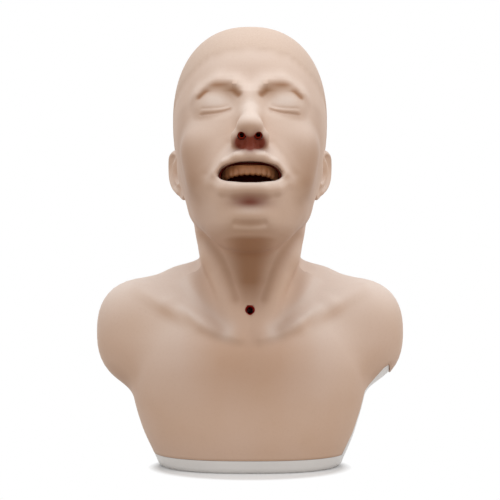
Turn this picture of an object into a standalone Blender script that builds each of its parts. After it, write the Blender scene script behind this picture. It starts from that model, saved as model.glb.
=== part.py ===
"""Tracheostomy care trainer: an upright bust with an open mouth, a throat opening and its airway."""

import math

import bmesh
import bpy
import numpy as np
from mathutils import Matrix, Vector

# Sizes are in millimetres, the front of the bust looks to -Y, and the base stands on z = 0.
MM = 0.001
GAP = 0.3

# Head carriage: the head's own axes have their origin midway between the ears
HEAD_TILT = math.radians(20.0)
EAR_AXIS = np.array((0.0, -5.0, 302.0))

# Ring grid the outer form is lofted on
FORM_AXIS_Y = 8.0
CROWN_START = 376.0
FOLD_SOFT = 1.0
# Reach of cutters that run right through, and the distance the ways start from
FAR = 240.0
CROWD_FRONT = 0.66
CROWD_BACK = -0.2
# Height on the axis, rise of the ways in degrees at the front and at the sides
RING_STATIONS = np.array((
    (0, 0, 0),
    (95, 0, 0),
    (135, 0, 40),
    (175, 8, 25),
    (205, 3, 8),
    (238, -18, 0),
    (262, -12, 0),
    (290, -10, 0),
    (330, -9, 0),
    (352, -7, 0),
    (365, -3, 0),
    (CROWN_START, 0, 0),
), float)
SKIN_RING_COUNTS = (3, 6, 5, 4, 4, 5, 5, 8, 7, 5, 3)
SKIN_COLUMN_COUNT = 50
SKIN_FAN_COUNT = 5
HOLLOW_RING_COUNTS = (3, 5, 4, 3, 3, 3, 3, 4, 2, 1, 1)
HOLLOW_COLUMN_COUNT = 24
HOLLOW_FAN_COUNT = 3
SHELL_RING_COUNTS = (7, 6, 3, 2, 2)
SHELL_COLUMN_COUNT = 28

# Walls and the seam between the soft skin and the hard shell
SKIN_WALL = 5.0
SHELL_INSET = 1.5
SHELL_WALL = 3.0
RIM_HEIGHT = 13.0
SEAM_LOW = (14.0, RIM_HEIGHT)
SEAM_HIGH = (48.0, 207.0)
# On one flank the skin stops short and leaves the shell's edge in sight: across, height
FLANK_SEAM = ((92.0, RIM_HEIGHT), (102.0, 34.0), (110.0, 58.0), (115.0, 77.0), (136.0, 101.0), (141.0, 104.0))
FLANK_END = 150.0

# Blended masses of the head: kind, centre or path, radii, blend width, squareness or path blend
HEAD = (
    # skull and face block
    ("ball", (0, 8, 57), (80, 97, 98), 0, 2.3),
    ("ball", (0, -34, -14), (66, 58, 78), 30, 2.1),
    # jaw branch and body, floor of the mouth
    ("bar", ((53, 2, -6), (45, -2, -46), (17, -64, -80)), (16, 13, 13), 20, 8),
    ("ball", (0, -36, -74), (38, 44, 22), 16, 2.0),
    # mound round the mouth, cheek, chin
    ("ball", (0, -68, -46), (42, 37, 40), 16, 2.0),
    ("ball", (38, -62, -26), (22, 17, 26), 18, 2.0),
    ("ball", (0, -74, -84), (20, 14, 12), 12, 2.0),
    # cheekbone and brow ridge
    ("ball", (43, -64, -2), (20, 16, 16), 20, 2.0),
    ("bar", ((6, -92, 43), (18, -91, 51), (32, -85, 54), (47, -75, 50)), (5, 5, 5, 5), 14, 6),
    # eye socket and the closed eye
    ("dent", (33, -105, 33), (21, 17, 17), 12, 2.0),
    ("ball", (34, -72.5, 32.5), (19, 15.5, 18.5), 4, 2.0),
    # bridge, tip, wing and column of the nose, lip groove
    ("bar", ((0, -88, 32), (0, -96, 15), (0, -106, 1)), (6, 8, 10), 12, 4),
    ("ball", (0, -107, -4), (13, 11.5, 9.5), 6, 2.0),
    ("ball", (11, -100, -10), (7.5, 10, 9), 4, 2.0),
    ("bar", ((0, -109, -10), (0, -102, -23)), (5, 5), 5, 2),
    ("ball", (0, -93, -30), (11, 13, 13), 8, 2.0),
    # lips and the furrow under them
    ("bar", ((0, -104, -33), (12, -102.5, -33.5), (23, -96, -38), (31, -88, -44.5), (36, -82, -51)),
     (4.3, 4.3, 4.2, 3.8, 3), 5, 3),
    ("bar", ((0, -97, -63), (13, -96, -62), (24, -91, -58), (32, -86, -51)), (6.5, 6, 5, 3.5), 5, 4),
    ("dent", (0, -106, -75), (18, 12, 4.5), 8, 2.0),
)

# Chest sections: height, half width, front, back
CHEST = np.array((
    (-30, 84, -66, 76),
    (0, 94, -74, 82),
    (14, 100, -78, 86),
    (34, 110, -82, 90),
    (58, 118, -83, 93),
    (80, 123, -82, 95),
    (105, 125, -77, 96),
    (130, 122, -66, 95),
    (155, 112, -48, 91),
    (180, 98, -28, 84),
    (205, 62, -10, 74),
    (225, 20, 0, 50),
), float)
CHEST_SQUARE = 2.5
CHEST_TOP = 204.0

# Arm stump, shoulder slope and collar bone
TORSO = (
    ("ball", (112, 12, 136), (48, 46, 54), 18, 2.4),
    ("bar", ((40, 36, 200), (74, 28, 184), (112, 16, 166)), (16, 18, 20), 14, 10),
    ("bar", ((14, -54, 128), (48, -50, 143), (84, -30, 165), (112, -12, 178)), (7, 6, 6, 8), 10, 6),
)

# Neck, the muscle from behind the ear to the breastbone, voice box
NECK = (
    ("bar", ((0, 12, 150), (0, 14, 240), (0, 30, 300)), (49, 51, 52), 0, 20),
    ("bar", ((50, 18, 282), (36, -20, 212), (12, -50, 138)), (13, 12, 8), 12, 10),
    ("ball", (0, -30, 214), (13, 12, 20), 12, 2.0),
)

# Ear outline as angle from the front, upwards, and reach from the ear's centre
EAR_CENTRE = (12.0, 3.5)
EAR_LEAN = math.radians(12.0)
EAR_OUTLINE = np.array((
    (0, 13), (30, 17), (60, 24), (90, 29), (120, 29), (150, 25), (180, 21),
    (210, 20), (240, 24), (270, 34), (300, 31), (330, 18),
), float)
EAR_ROOT_X = 69.0
# How far the ear stands off, and how much more so towards its top
EAR_STAND = 0.45
EAR_FLARE = 0.014
EAR_INSIDE_X = 60.0
EAR_SPOKE_COUNT = 20
# Rim, furrow and inner fold of the ear: height, place from the middle outwards, width
EAR_FOLDS = ((2.0, 0.90, 0.10), (-2.0, 0.72, 0.08), (1.4, 0.56, 0.09))
# Bowl of the ear: depth, where its wall starts and how wide the wall is
EAR_BOWL = (9.0, 0.2, 0.32)
# Flap before the ear hole: height, degrees round the ear and their spread, place and width
EAR_FLAP = (3.5, 350.0, 24.0, 0.85, 0.25)
EAR_FRONT_RINGS = (0.22, 0.42, 0.56, 0.70, 0.82, 0.92, 1.0)

# Mouth, in the head's own axes
MOUTH_CENTRE = (0.0, -68.0, -47.0)
MOUTH_SIZE = (33.0, 28.0, 20.0)
MOUTH_SQUARE = 3.0
MOUTH_STOCK = 8.0
LINER_WALL = 2.0
LINER_FRONT = MOUTH_CENTRE[1] - MOUTH_SIZE[1] + 4.0
LIP_GAP_HALF = MOUTH_SIZE[0] - 2.0
LIP_GAP_CORNER = MOUTH_CENTRE[2] + 3.0
LIP_GAP_RISE = 0.325 * MOUTH_SIZE[2]
LIP_GAP_FALL = 0.65 * MOUTH_SIZE[2]
# Where the gap is read: front to back, width and height of its roof against those at the lips
LIP_GAP_POINT_COUNT = 32
LIP_GAP_RINGS = ((-125.0, 1.05, 1.0), (-104.0, 1.0, 1.0), (-84.0, 0.96, 2.1))
THROAT_NECK_R = 10.5
THROAT_NECK_END = -14.0
TEETH_ARCH = (0.74 * MOUTH_SIZE[0], 0.82 * MOUTH_SIZE[1])
TEETH_COUNT = 7
TEETH_SECTION_COUNT = 3 * TEETH_COUNT + 1
TEETH_ARCH_Y = MOUTH_CENTRE[1] + 3.0
TEETH_THICK = 5.0
UPPER_TEETH = (MOUTH_CENTRE[2] + MOUTH_SIZE[2] - 1.0, MOUTH_CENTRE[2] + 0.275 * MOUTH_SIZE[2])
LOWER_TEETH = (MOUTH_CENTRE[2] - MOUTH_SIZE[2] + 1.0, MOUTH_CENTRE[2] - 0.5 * MOUTH_SIZE[2])
TONGUE_CENTRE = (0.0, MOUTH_CENTRE[1] + 6.0, MOUTH_CENTRE[2] - MOUTH_SIZE[2] + 1.0)
TONGUE_SIZE = (0.53 * MOUTH_SIZE[0], 0.75 * MOUTH_SIZE[1], 0.65 * MOUTH_SIZE[2])

# Airway, in the row's axes
AIRWAY_Y = -20.0
GULLET_Y = 6.0
TRACHEA_R = 10.5
TRACHEA_WALL = 2.0
TRACHEA_TOP = 233.0
TRACHEA_FOOT = 104.0
GULLET_R = 7.5
GULLET_BORE = 5.5
GULLET_TOP = 231.0
GULLET_FOOT = 90.0
THROAT_Y = -10.0
THROAT_LOW = 226.0
THROAT_WALL = 2.5
THROAT_PROFILE = ((27.5, 226.0), (28.5, 240.0), (28.5, 262.0), (23.0, 277.0), (12.0, 284.0), (0.0, 286.0))
STOMA_Z = 160.0
STOMA_R = 4.6
STOMA_WALL = 2.4
STOMA_FRONT = -43.4
STOMA_DEPTH = 14.0
STOMA_RISE = math.radians(8.0)
NASAL_R = 4.0
NASAL_BORE = 2.6
NOSTRIL = (8.4, -122.0, -23.0)
NASAL_PATH = ((7.9, -105.5, -9.5), (7.5, -96.0, -5.5), (7.0, -80.0, -5.0), (7.0, -50.0, -9.0), (7.0, -24.0, -20.0),
              (7.0, -8.0, -35.0))
LUNG_CENTRE = (50.0, -14.0, 41.3)
LUNG_SIZE = (31.0, 38.0)
LUNG_WALL = 1.6
LUNG_NECK_R = 8.5
LUNG_NECK_TOP = 86.0
BRANCH_R = 8.0
BRANCH_BORE = 5.6

# Frame that carries the airway, screwed to posts on the hard shell
FRAME_BACK_Y = 57.0
FRAME_PLATE = 3.6
FRAME_HALF = 40.0
FRAME_Z = (62.0, 190.0)
SHELF_Z = (125.0, 184.0)
SHELF_THICK = 6.0
POST_X = FRAME_HALF - 8.0
POST_Z = (76.0, 172.0)
POST_R = 7.0
SCREW_HEAD_R = 4.0
SCREW_HEAD_H = 2.4
SCREW_R = 1.9
SCREW_FOOT = 0.6
CROSS_HALF = 2.4
CROSS_WIDE = 0.5
CROSS_DEEP = 1.2


def fresh_start():
    """Empty the file and make the two collections."""
    for item in list(bpy.data.objects):
        bpy.data.objects.remove(item, do_unlink=True)
    made = []
    for name in ("tracheostomy_care_model", "cutters"):
        group = bpy.data.collections.new(name)
        bpy.context.scene.collection.children.link(group)
        made.append(group)
    return made


PARTS, CUTTERS = fresh_start()


def material(name, colour, roughness, metallic=0.0):
    """One Principled material of plain values."""
    made = bpy.data.materials.new(name)
    made.use_nodes = True
    shader = made.node_tree.nodes["Principled BSDF"]
    shader.inputs["Base Color"].default_value = (*colour, 1.0)
    shader.inputs["Roughness"].default_value = roughness
    shader.inputs["Metallic"].default_value = metallic
    return made


SKIN = ((0.68, 0.47, 0.36), 0.5)
WHITE = ((0.62, 0.60, 0.59), 0.4)
RED = ((0.30, 0.03, 0.03), 0.35)
DARK_RED = ((0.12, 0.015, 0.01), 0.4)
TOOTH = ((0.55, 0.33, 0.22), 0.35)
CLEAR = ((0.55, 0.60, 0.62), 0.25)
LUNG = ((0.62, 0.33, 0.30), 0.6)
GREY = ((0.30, 0.31, 0.32), 0.5)
STEEL = ((0.55, 0.55, 0.56), 0.3, 1.0)


def keep(item, look, smooth_angle=40.0):
    """Give a finished piece its own material and smooth shading."""
    colour, roughness = look[0], look[1]
    metallic = look[2] if len(look) > 2 else 0.0
    item.data.materials.clear()
    item.data.materials.append(material(item.name + "_material", colour, roughness, metallic))
    item.data.set_sharp_from_angle(angle=math.radians(smooth_angle))
    return item


def add_mesh(name, points, faces, group):
    """A mesh object from points in millimetres."""
    data = bpy.data.meshes.new(name)
    data.from_pydata([tuple(float(v) * MM for v in p) for p in points], [], faces)
    shape = bmesh.new()
    shape.from_mesh(data)
    bmesh.ops.recalc_face_normals(shape, faces=shape.faces)
    for face in shape.faces:
        face.smooth = True
    shape.to_mesh(data)
    shape.free()
    item = bpy.data.objects.new(name, data)
    group.objects.link(item)
    if group is CUTTERS:
        item.hide_render = True
        item.display_type = "WIRE"
    return item


def loft(name, rings, group, poles=(None, None)):
    """Close a stack of rings, with a point or a flat cap at each end."""
    rings = [np.asarray(r, float) for r in rings]
    count = len(rings[0])
    points = [p for ring in rings for p in ring]
    faces = []
    for row in range(len(rings) - 1):
        for col in range(count):
            a = row * count + col
            b = row * count + (col + 1) % count
            faces.append((a, b, b + count, a + count))
    for end, pole in enumerate(poles):
        start = 0 if end == 0 else (len(rings) - 1) * count
        loop = [start + i for i in range(count)]
        if pole is None:
            faces.append(tuple(loop if end else reversed(loop)))
        else:
            points.append(np.asarray(pole, float))
            tip = len(points) - 1
            for i in range(count):
                pair = (loop[i], loop[(i + 1) % count])
                faces.append((*pair, tip) if end else (pair[1], pair[0], tip))
    return add_mesh(name, points, faces, group)


def rod(name, start, end, radius, group, sides=16, end_radius=None):
    """A straight round bar or cone between two points."""
    a, b = Vector(start), Vector(end)
    axis = b - a
    turn = axis.to_track_quat("Z", "Y").to_matrix()
    rings = []
    for point, size in ((a, radius), (b, radius if end_radius is None else end_radius)):
        angles = (2 * math.pi * i / sides for i in range(sides))
        rings.append([point + turn @ Vector((size * math.cos(t), size * math.sin(t), 0)) for t in angles])
    return loft(name, rings, group)


def block(name, low, high, group):
    """A box between two corners."""
    data = bpy.data.meshes.new(name)
    shape = bmesh.new()
    bmesh.ops.create_cube(shape, size=1.0)
    size = [(h - l) * MM for l, h in zip(low, high)]
    middle = [(h + l) * 0.5 * MM for l, h in zip(low, high)]
    bmesh.ops.transform(shape, matrix=Matrix.Translation(middle) @ Matrix.Diagonal((*size, 1)), verts=shape.verts)
    shape.to_mesh(data)
    shape.free()
    item = bpy.data.objects.new(name, data)
    group.objects.link(item)
    if group is CUTTERS:
        item.hide_render = True
        item.display_type = "WIRE"
    return item


def combine(item, other, operation):
    """One exact Boolean step."""
    step = item.modifiers.new(operation.lower() + "_" + other.name, "BOOLEAN")
    step.operation = operation
    step.solver = "EXACT"
    step.object = other
    return item


def cut(item, *others):
    for other in others:
        combine(item, other, "DIFFERENCE")
    return item


def join(item, *others):
    for other in others:
        combine(item, other, "UNION")
    return item


def lathe(name, profile, centre, group, steps=16):
    """A turned solid: the profile runs as radius and height, axis to axis or closed."""
    data = bpy.data.meshes.new(name)
    points = [(r * MM, 0.0, z * MM) for r, z in profile]
    edges = [(i, i + 1) for i in range(len(points) - 1)]
    if profile[0][0] > 0:
        edges.append((len(points) - 1, 0))
    data.from_pydata(points, edges, [])
    item = bpy.data.objects.new(name, data)
    item.location = [c * MM for c in centre]
    group.objects.link(item)
    turn = item.modifiers.new("turn", "SCREW")
    turn.steps = steps
    turn.render_steps = steps
    turn.use_merge_vertices = True
    turn.merge_threshold = 0.00001
    if group is CUTTERS:
        item.hide_render = True
        item.display_type = "WIRE"
    return item


def pipe(name, path, radius, group, turns=1, resolution=3):
    """A round bar along a smooth path, made a mesh so that Booleans can use it."""
    curve = bpy.data.curves.new(name + "_path", "CURVE")
    curve.dimensions = "3D"
    curve.bevel_depth = radius * MM
    curve.bevel_resolution = turns
    curve.resolution_u = resolution
    curve.use_fill_caps = True
    line = curve.splines.new("BEZIER")
    line.bezier_points.add(len(path) - 1)
    for knot, place in zip(line.bezier_points, path):
        knot.co = [v * MM for v in place]
        knot.handle_left_type = "AUTO"
        knot.handle_right_type = "AUTO"
    holder = bpy.data.objects.new(name + "_path", curve)
    bpy.context.scene.collection.objects.link(holder)
    graph = bpy.context.evaluated_depsgraph_get()
    data = bpy.data.meshes.new_from_object(holder.evaluated_get(graph))
    bpy.data.objects.remove(holder, do_unlink=True)
    shape = bmesh.new()
    shape.from_mesh(data)
    bmesh.ops.remove_doubles(shape, verts=shape.verts, dist=0.00001)
    bmesh.ops.recalc_face_normals(shape, faces=shape.faces)
    shape.to_mesh(data)
    shape.free()
    item = bpy.data.objects.new(name, data)
    group.objects.link(item)
    if group is CUTTERS:
        item.hide_render = True
        item.display_type = "WIRE"
    return item


def blend(a, b, width):
    """The nearer of two distances, rounded where they meet."""
    if width <= 0:
        return np.minimum(a, b)
    share = np.clip(0.5 + 0.5 * (b - a) / width, 0, 1)
    return b + (a - b) * share - width * share * (1 - share)


def ball(p, centre, radii, square):
    """Distance to an ellipsoid, or to a squarer one."""
    radii = np.array(radii, float)
    q = np.abs(p - np.array(centre, float)) / radii
    size = np.maximum((q ** square).sum(-1), 1e-12) ** (1 / square)
    slope = np.linalg.norm(q ** (square - 1) / radii, axis=-1) * size ** (1 - square)
    return (size - 1) / np.maximum(slope, 1e-9)


def bar(p, path, radii, width):
    """Distance to a round bar along a path."""
    total = None
    for start, end, r0, r1 in zip(path, path[1:], radii, radii[1:]):
        start, span = np.array(start, float), np.subtract(end, start)
        t = np.clip((p - start) @ span / (span @ span), 0, 1)
        d = np.linalg.norm(p - start - t[..., None] * span, axis=-1) - (r0 + (r1 - r0) * t)
        total = d if total is None else blend(total, d, width)
    return total


def masses(p, rows, total=None):
    """Blend the rows of a table in order."""
    for kind, where, size, width, shape in rows:
        d = bar(p, where, size, shape) if kind == "bar" else ball(p, where, size, shape)
        if total is None:
            total = d
        elif kind == "dent":
            total = -blend(-total, d, width)
        else:
            total = blend(total, d, width)
    return total


def to_head(p):
    """Row axes to the head's own axes."""
    q = p - EAR_AXIS
    c, s = math.cos(HEAD_TILT), math.sin(HEAD_TILT)
    return np.stack((q[..., 0], q[..., 1] * c - q[..., 2] * s, q[..., 1] * s + q[..., 2] * c), -1)


def from_head(q):
    """The head's own axes to row axes."""
    q = np.asarray(q, float)
    c, s = math.cos(HEAD_TILT), math.sin(HEAD_TILT)
    return np.stack((q[..., 0], q[..., 1] * c + q[..., 2] * s, q[..., 2] * c - q[..., 1] * s), -1) + EAR_AXIS


def fold(p):
    """Both sides of the body share one half."""
    q = p.copy()
    q[..., 0] = np.sqrt(q[..., 0] ** 2 + FOLD_SOFT)
    return q


def chest(p):
    """The trunk as rounded sections between the named heights."""
    height = np.linspace(CHEST[0, 0], CHEST[-1, 0], 256)
    read = []
    for column in range(1, 4):
        value = np.pad(np.interp(height, CHEST[:, 0], CHEST[:, column]), 10, mode="edge")
        value = np.convolve(value, np.ones(21) / 21, mode="valid")
        read.append(np.interp(p[..., 2], height, value))
    half, front, back = read
    depth = (back - front) / 2
    across = (np.abs(p[..., 0]) / half) ** CHEST_SQUARE
    along = (np.abs(p[..., 1] - (front + back) / 2) / depth) ** CHEST_SQUARE
    d = ((across + along) ** (1 / CHEST_SQUARE) - 1) * np.minimum(half, depth) * 0.9
    return -blend(-d, CHEST_TOP - p[..., 2], 10)


def bust(p):
    """Signed distance to the whole outer form."""
    q = fold(p)
    trunk = blend(masses(q, TORSO, chest(q)), masses(q, NECK), 10)
    return blend(masses(fold(to_head(p)), HEAD), trunk, 14)


def bust_hollow(p):
    """The room inside the skin, which leaves solid stock round mouth and nose."""
    q = to_head(p)
    stock = ball(q, MOUTH_CENTRE, [s + MOUTH_STOCK for s in MOUTH_SIZE], 2.4)
    stock = blend(stock, ball(q, (0, -92, -10), (24, 30, 28), 2.0), 12)
    return -blend(-(bust(p) + SKIN_WALL), stock, 4)


def grid(counts, columns, fan, floor, crowd):
    """Starting points and ways of the rings, up the trunk and head and then a fan to the crown."""
    t = np.linspace(-1, 1, columns, endpoint=False)
    turn = math.pi * (t - crowd * np.sin(math.pi * t) / math.pi)
    side, front = np.sin(turn), -np.cos(turn)
    ahead = np.maximum(np.cos(turn), 0) ** 2
    zero = np.zeros(columns)
    starts, ways = [], []

    def add(height, rise):
        starts.append(np.stack((zero, zero + FORM_AXIS_Y, zero + height), -1))
        ways.append(np.stack((side * np.cos(rise), front * np.cos(rise), np.sin(rise)), -1))

    for low, high, count in zip(RING_STATIONS, RING_STATIONS[1:], counts):
        for share in np.linspace(0, 1, count, endpoint=False):
            height, rise_front, rise_side = low + (high - low) * share
            add(max(height, floor), np.radians(rise_front * ahead + rise_side * side ** 2))
    for rise in np.linspace(0, math.pi / 2, fan, endpoint=False):
        add(CROWN_START, zero + rise)
    return np.array(starts), np.array(ways)


def walk_in(field, starts, ways):
    """Come in along each way until the surface is met."""
    reach = np.full(starts.shape[:-1], FAR)
    for _ in range(46):
        away = field(starts + ways * reach[..., None])
        reach = np.maximum(reach - np.clip(away * 0.8, -2.0, 14.0), 0.5)
    return starts + ways * reach[..., None]


def form(name, field, counts, columns, fan, group, crowd=CROWD_FRONT, floor=0.0):
    """Loft a field on the ring grid."""
    rings = walk_in(field, *grid(counts, columns, fan, floor, crowd))
    pole = None
    if fan:
        top = np.array([[(0.0, FORM_AXIS_Y, CROWN_START)]])
        pole = walk_in(field, top, np.array([[(0.0, 0.0, 1.0)]]))[0, 0]
    return loft(name, list(rings), group, (None, pole))


def seam_cutter(name, gap):
    """All that belongs to the hard shell: the rim at the floor and the back behind the seam."""
    lean = (SEAM_HIGH[0] - SEAM_LOW[0]) / (SEAM_HIGH[1] - SEAM_LOW[1])
    low = RIM_HEIGHT + gap
    outline = (
        (-FAR, -FAR),
        (-FAR, low),
        (SEAM_LOW[0] - gap + lean * gap, low),
        (SEAM_HIGH[0] - gap + lean * gap, SEAM_HIGH[1] + gap),
        (FAR, SEAM_HIGH[1] + gap),
        (FAR, -FAR),
    )
    seam = loft(name, [[(x, y, z) for y, z in outline] for x in (-FAR, FAR)], CUTTERS)
    edge = [(x - gap, z + gap) for x, z in FLANK_SEAM]
    last = FLANK_SEAM[-1]
    edge += [(last[0] + gap, last[1] + gap), (FLANK_END + gap, last[1] - 25.0)]
    flank = ((edge[0][0], -FAR / 2), *edge, (edge[-1][0], -FAR / 2))
    return join(seam, loft(name + "_flank", [[(x, y, z) for x, z in flank] for y in (-FAR / 2, FAR / 2)], CUTTERS))


def ear(name, side):
    """One ear as rings round its own middle, front face first, then back into the head."""
    spokes = np.arange(EAR_SPOKE_COUNT) * 2 * math.pi / EAR_SPOKE_COUNT
    degrees = np.degrees(spokes)
    reach = np.interp(degrees, EAR_OUTLINE[:, 0], EAR_OUTLINE[:, 1], period=360)
    upper = np.interp(degrees, (20, 50, 215, 250, 360), (0, 1, 1, 0, 0), period=360)
    flap_high, flap_turn, flap_spread, flap_place, flap_width = EAR_FLAP
    away = np.minimum(np.abs(degrees - flap_turn), 360 - np.abs(degrees - flap_turn)) / flap_spread
    bowl_deep, bowl_start, bowl_wall = EAR_BOWL

    def ring(share, drop, x=None):
        y = -np.cos(spokes) * reach * share
        z = np.sin(spokes) * reach * share
        c, s = math.cos(EAR_LEAN), math.sin(EAR_LEAN)
        y, z = EAR_CENTRE[0] + y * c + z * s, EAR_CENTRE[1] + z * c - y * s
        if x is None:
            x = EAR_ROOT_X + np.maximum(y, 0) * EAR_STAND * (1 + EAR_FLARE * z)
            for height, place, width in EAR_FOLDS:
                x = x + upper * height * math.exp(-((share - place) / width) ** 2)
            x = x - bowl_deep * (1 - min(max((share - bowl_start) / bowl_wall, 0), 1))
            x = x + flap_high * np.exp(-away ** 2) * math.exp(-((share - flap_place) / flap_width) ** 2)
        return np.stack(((x - drop + 0 * y) * side, y, z), -1)

    rings = [ring(share, 1.2 if share == 1.0 else 0.0) for share in EAR_FRONT_RINGS]
    rings += [ring(0.98, 4.0), ring(0.84, 0.0, EAR_ROOT_X - 2), ring(0.5, 0.0, EAR_INSIDE_X)]
    rings = [from_head(r) for r in rings]
    return loft(name, rings, CUTTERS, (rings[0].mean(0), None))


def head_ball(name, centre, size, square, group, rows=10, columns=20):
    """An ellipsoid in the head's own axes, squarer where asked."""
    rings = []
    for row in range(1, rows):
        climb = math.pi * row / rows - math.pi / 2
        ring = []
        for column in range(columns):
            turn = 2 * math.pi * column / columns
            way = np.array((math.cos(climb) * math.cos(turn), math.cos(climb) * math.sin(turn), math.sin(climb)))
            way = way / (np.abs(way) ** square).sum() ** (1 / square)
            ring.append(np.array(centre) + way * np.array(size))
        rings.append(from_head(ring))
    ends = [from_head(np.array(centre) + (0, 0, sign * size[2])) for sign in (-1, 1)]
    return loft(name, rings, group, ends)


def lip_gap():
    """The opening between the lips, drawn in at the corners, its roof rising inwards."""
    rings = []
    for y, widen, roof in LIP_GAP_RINGS:
        ring = []
        for turn in np.linspace(0, 2 * math.pi, LIP_GAP_POINT_COUNT, endpoint=False):
            height = LIP_GAP_RISE * roof if math.sin(turn) > 0 else LIP_GAP_FALL
            ring.append((LIP_GAP_HALF * widen * math.cos(turn), y, LIP_GAP_CORNER + height * math.sin(turn)))
        rings.append(from_head(ring))
    return loft("lip_gap", rings, CUTTERS)


def arch_band(name, span, scallop, group):
    """A horseshoe of teeth with a waved biting edge."""
    top, edge = span
    rings = []
    for share in np.linspace(0, 1, TEETH_SECTION_COUNT):
        t = math.pi * (0.94 * share + 0.03)
        wave = scallop * abs(math.sin(share * math.pi * TEETH_COUNT))
        ring = []
        for grow, z in ((0.5, top), (0.5, edge - wave), (0.1, edge - wave * 1.4), (-0.5, edge - wave), (-0.5, top)):
            rx = TEETH_ARCH[0] + TEETH_THICK * grow
            ry = TEETH_ARCH[1] + TEETH_THICK * grow
            ring.append((rx * math.cos(t), TEETH_ARCH_Y - ry * math.sin(t), z))
        rings.append(from_head(ring))
    return loft(name, rings, group)


def build_skin():
    """Soft skin of head, neck, chest and arm stumps."""
    skin = form("bust_skin", bust, SKIN_RING_COUNTS, SKIN_COLUMN_COUNT, SKIN_FAN_COUNT, PARTS)
    join(skin, ear("ear_form_right", 1), ear("ear_form_left", -1))
    hollow = form("skin_hollow", bust_hollow, HOLLOW_RING_COUNTS, HOLLOW_COLUMN_COUNT, HOLLOW_FAN_COUNT, CUTTERS)
    cut(skin, hollow, seam_cutter("skin_seam", GAP), lip_gap())
    room = [s + GAP for s in MOUTH_SIZE]
    cut(skin, head_ball("mouth_room", MOUTH_CENTRE, room, MOUTH_SQUARE, CUTTERS))
    neck = from_head(MOUTH_CENTRE)
    cut(skin, rod("mouth_way", neck, mouth_neck_end(6), THROAT_NECK_R + GAP, CUTTERS))
    for side, sign in (("right", 1), ("left", -1)):
        cut(skin, pipe(side + "_nasal_way", nasal_path(sign, NOSTRIL), NASAL_R + GAP, CUTTERS))
    start, end = stoma_ends(6.0, 6.0)
    cut(skin, rod("stoma_way", start, end, STOMA_R + STOMA_WALL + GAP, CUTTERS))
    return keep(skin, SKIN)


def mouth_neck_end(extra):
    """Where the liner's round neck ends inside the throat, along its leaning axis."""
    return from_head((0.0, THROAT_NECK_END + extra, MOUTH_CENTRE[2]))


def nasal_path(sign, *ahead):
    """Path of one nasal tube from the nostril into the throat."""
    return [from_head((x * sign, y, z)) for x, y, z in (*ahead, *NASAL_PATH)]


def stoma_ends(front, back):
    """Ends of the throat opening's own axis, front one first."""
    way = np.array((0.0, math.cos(STOMA_RISE), -math.sin(STOMA_RISE)))
    middle = np.array((0.0, STOMA_FRONT, STOMA_Z))
    return middle - way * front, middle + way * (STOMA_DEPTH + back)


def build_shell():
    """Hard white base rim, floor and back in one moulding."""
    def outer(p):
        return bust(p) + SHELL_INSET

    def inner(p):
        return bust(p) + SHELL_INSET + SHELL_WALL

    shell = form("base_shell", outer, SHELL_RING_COUNTS, SHELL_COLUMN_COUNT, 0, PARTS, CROWD_BACK)
    room = form("shell_room", inner, SHELL_RING_COUNTS, SHELL_COLUMN_COUNT, 0, CUTTERS, CROWD_BACK, SHELL_WALL)
    cut(shell, room)
    combine(shell, seam_cutter("shell_seam", 0.0), "INTERSECT")
    for i, (x, z) in enumerate((x, z) for z in POST_Z for x in (-POST_X, POST_X)):
        wall = back_wall(x, z)
        face = FRAME_BACK_Y + FRAME_PLATE + GAP
        join(shell, rod("post_%d" % i, (x, face, z), (x, wall - 1.0, z), POST_R, CUTTERS, 16))
        cut(shell, rod("post_hole_%d" % i, (x, face - 5, z), (x, wall + 5, z), SCREW_R + GAP, CUTTERS, 12))
        seat = wall - SCREW_HEAD_H - 1.0
        cut(shell, rod("post_seat_%d" % i, (x, seat, z), (x, wall + 9, z), SCREW_HEAD_R + GAP, CUTTERS, 16))
    return keep(shell, WHITE)


def back_wall(x, z):
    """Outer face of the shell's back at one place."""
    way = np.array([[(0.0, 1.0, 0.0)]])
    start = np.array([[(x, 0.0, z)]], float)
    return float(walk_in(lambda p: bust(p) + SHELL_INSET, start, way)[0, 0, 1])


def build_screws():
    """Four screws that hold the frame to the posts."""
    for i, (x, z) in enumerate((x, z) for z in POST_Z for x in (-POST_X, POST_X)):
        seat = back_wall(x, z) - SCREW_HEAD_H - 1.0 + GAP
        name = "frame_screw_%d" % (i + 1)
        screw = rod(name, (x, seat, z), (x, seat + SCREW_HEAD_H, z), SCREW_HEAD_R, PARTS, 12)
        foot = FRAME_BACK_Y + SCREW_FOOT
        join(screw, rod(name + "_shank", (x, foot, z), (x, seat + 1, z), SCREW_R, CUTTERS, 8))
        top = seat + SCREW_HEAD_H
        for arm, wide, high in (("a", CROSS_HALF, CROSS_WIDE), ("b", CROSS_WIDE, CROSS_HALF)):
            low = (x - wide, top - CROSS_DEEP, z - high)
            cut(screw, block(name + "_cross_" + arm, low, (x + wide, top + 1, z + high), CUTTERS))
        keep(screw, STEEL)


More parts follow.
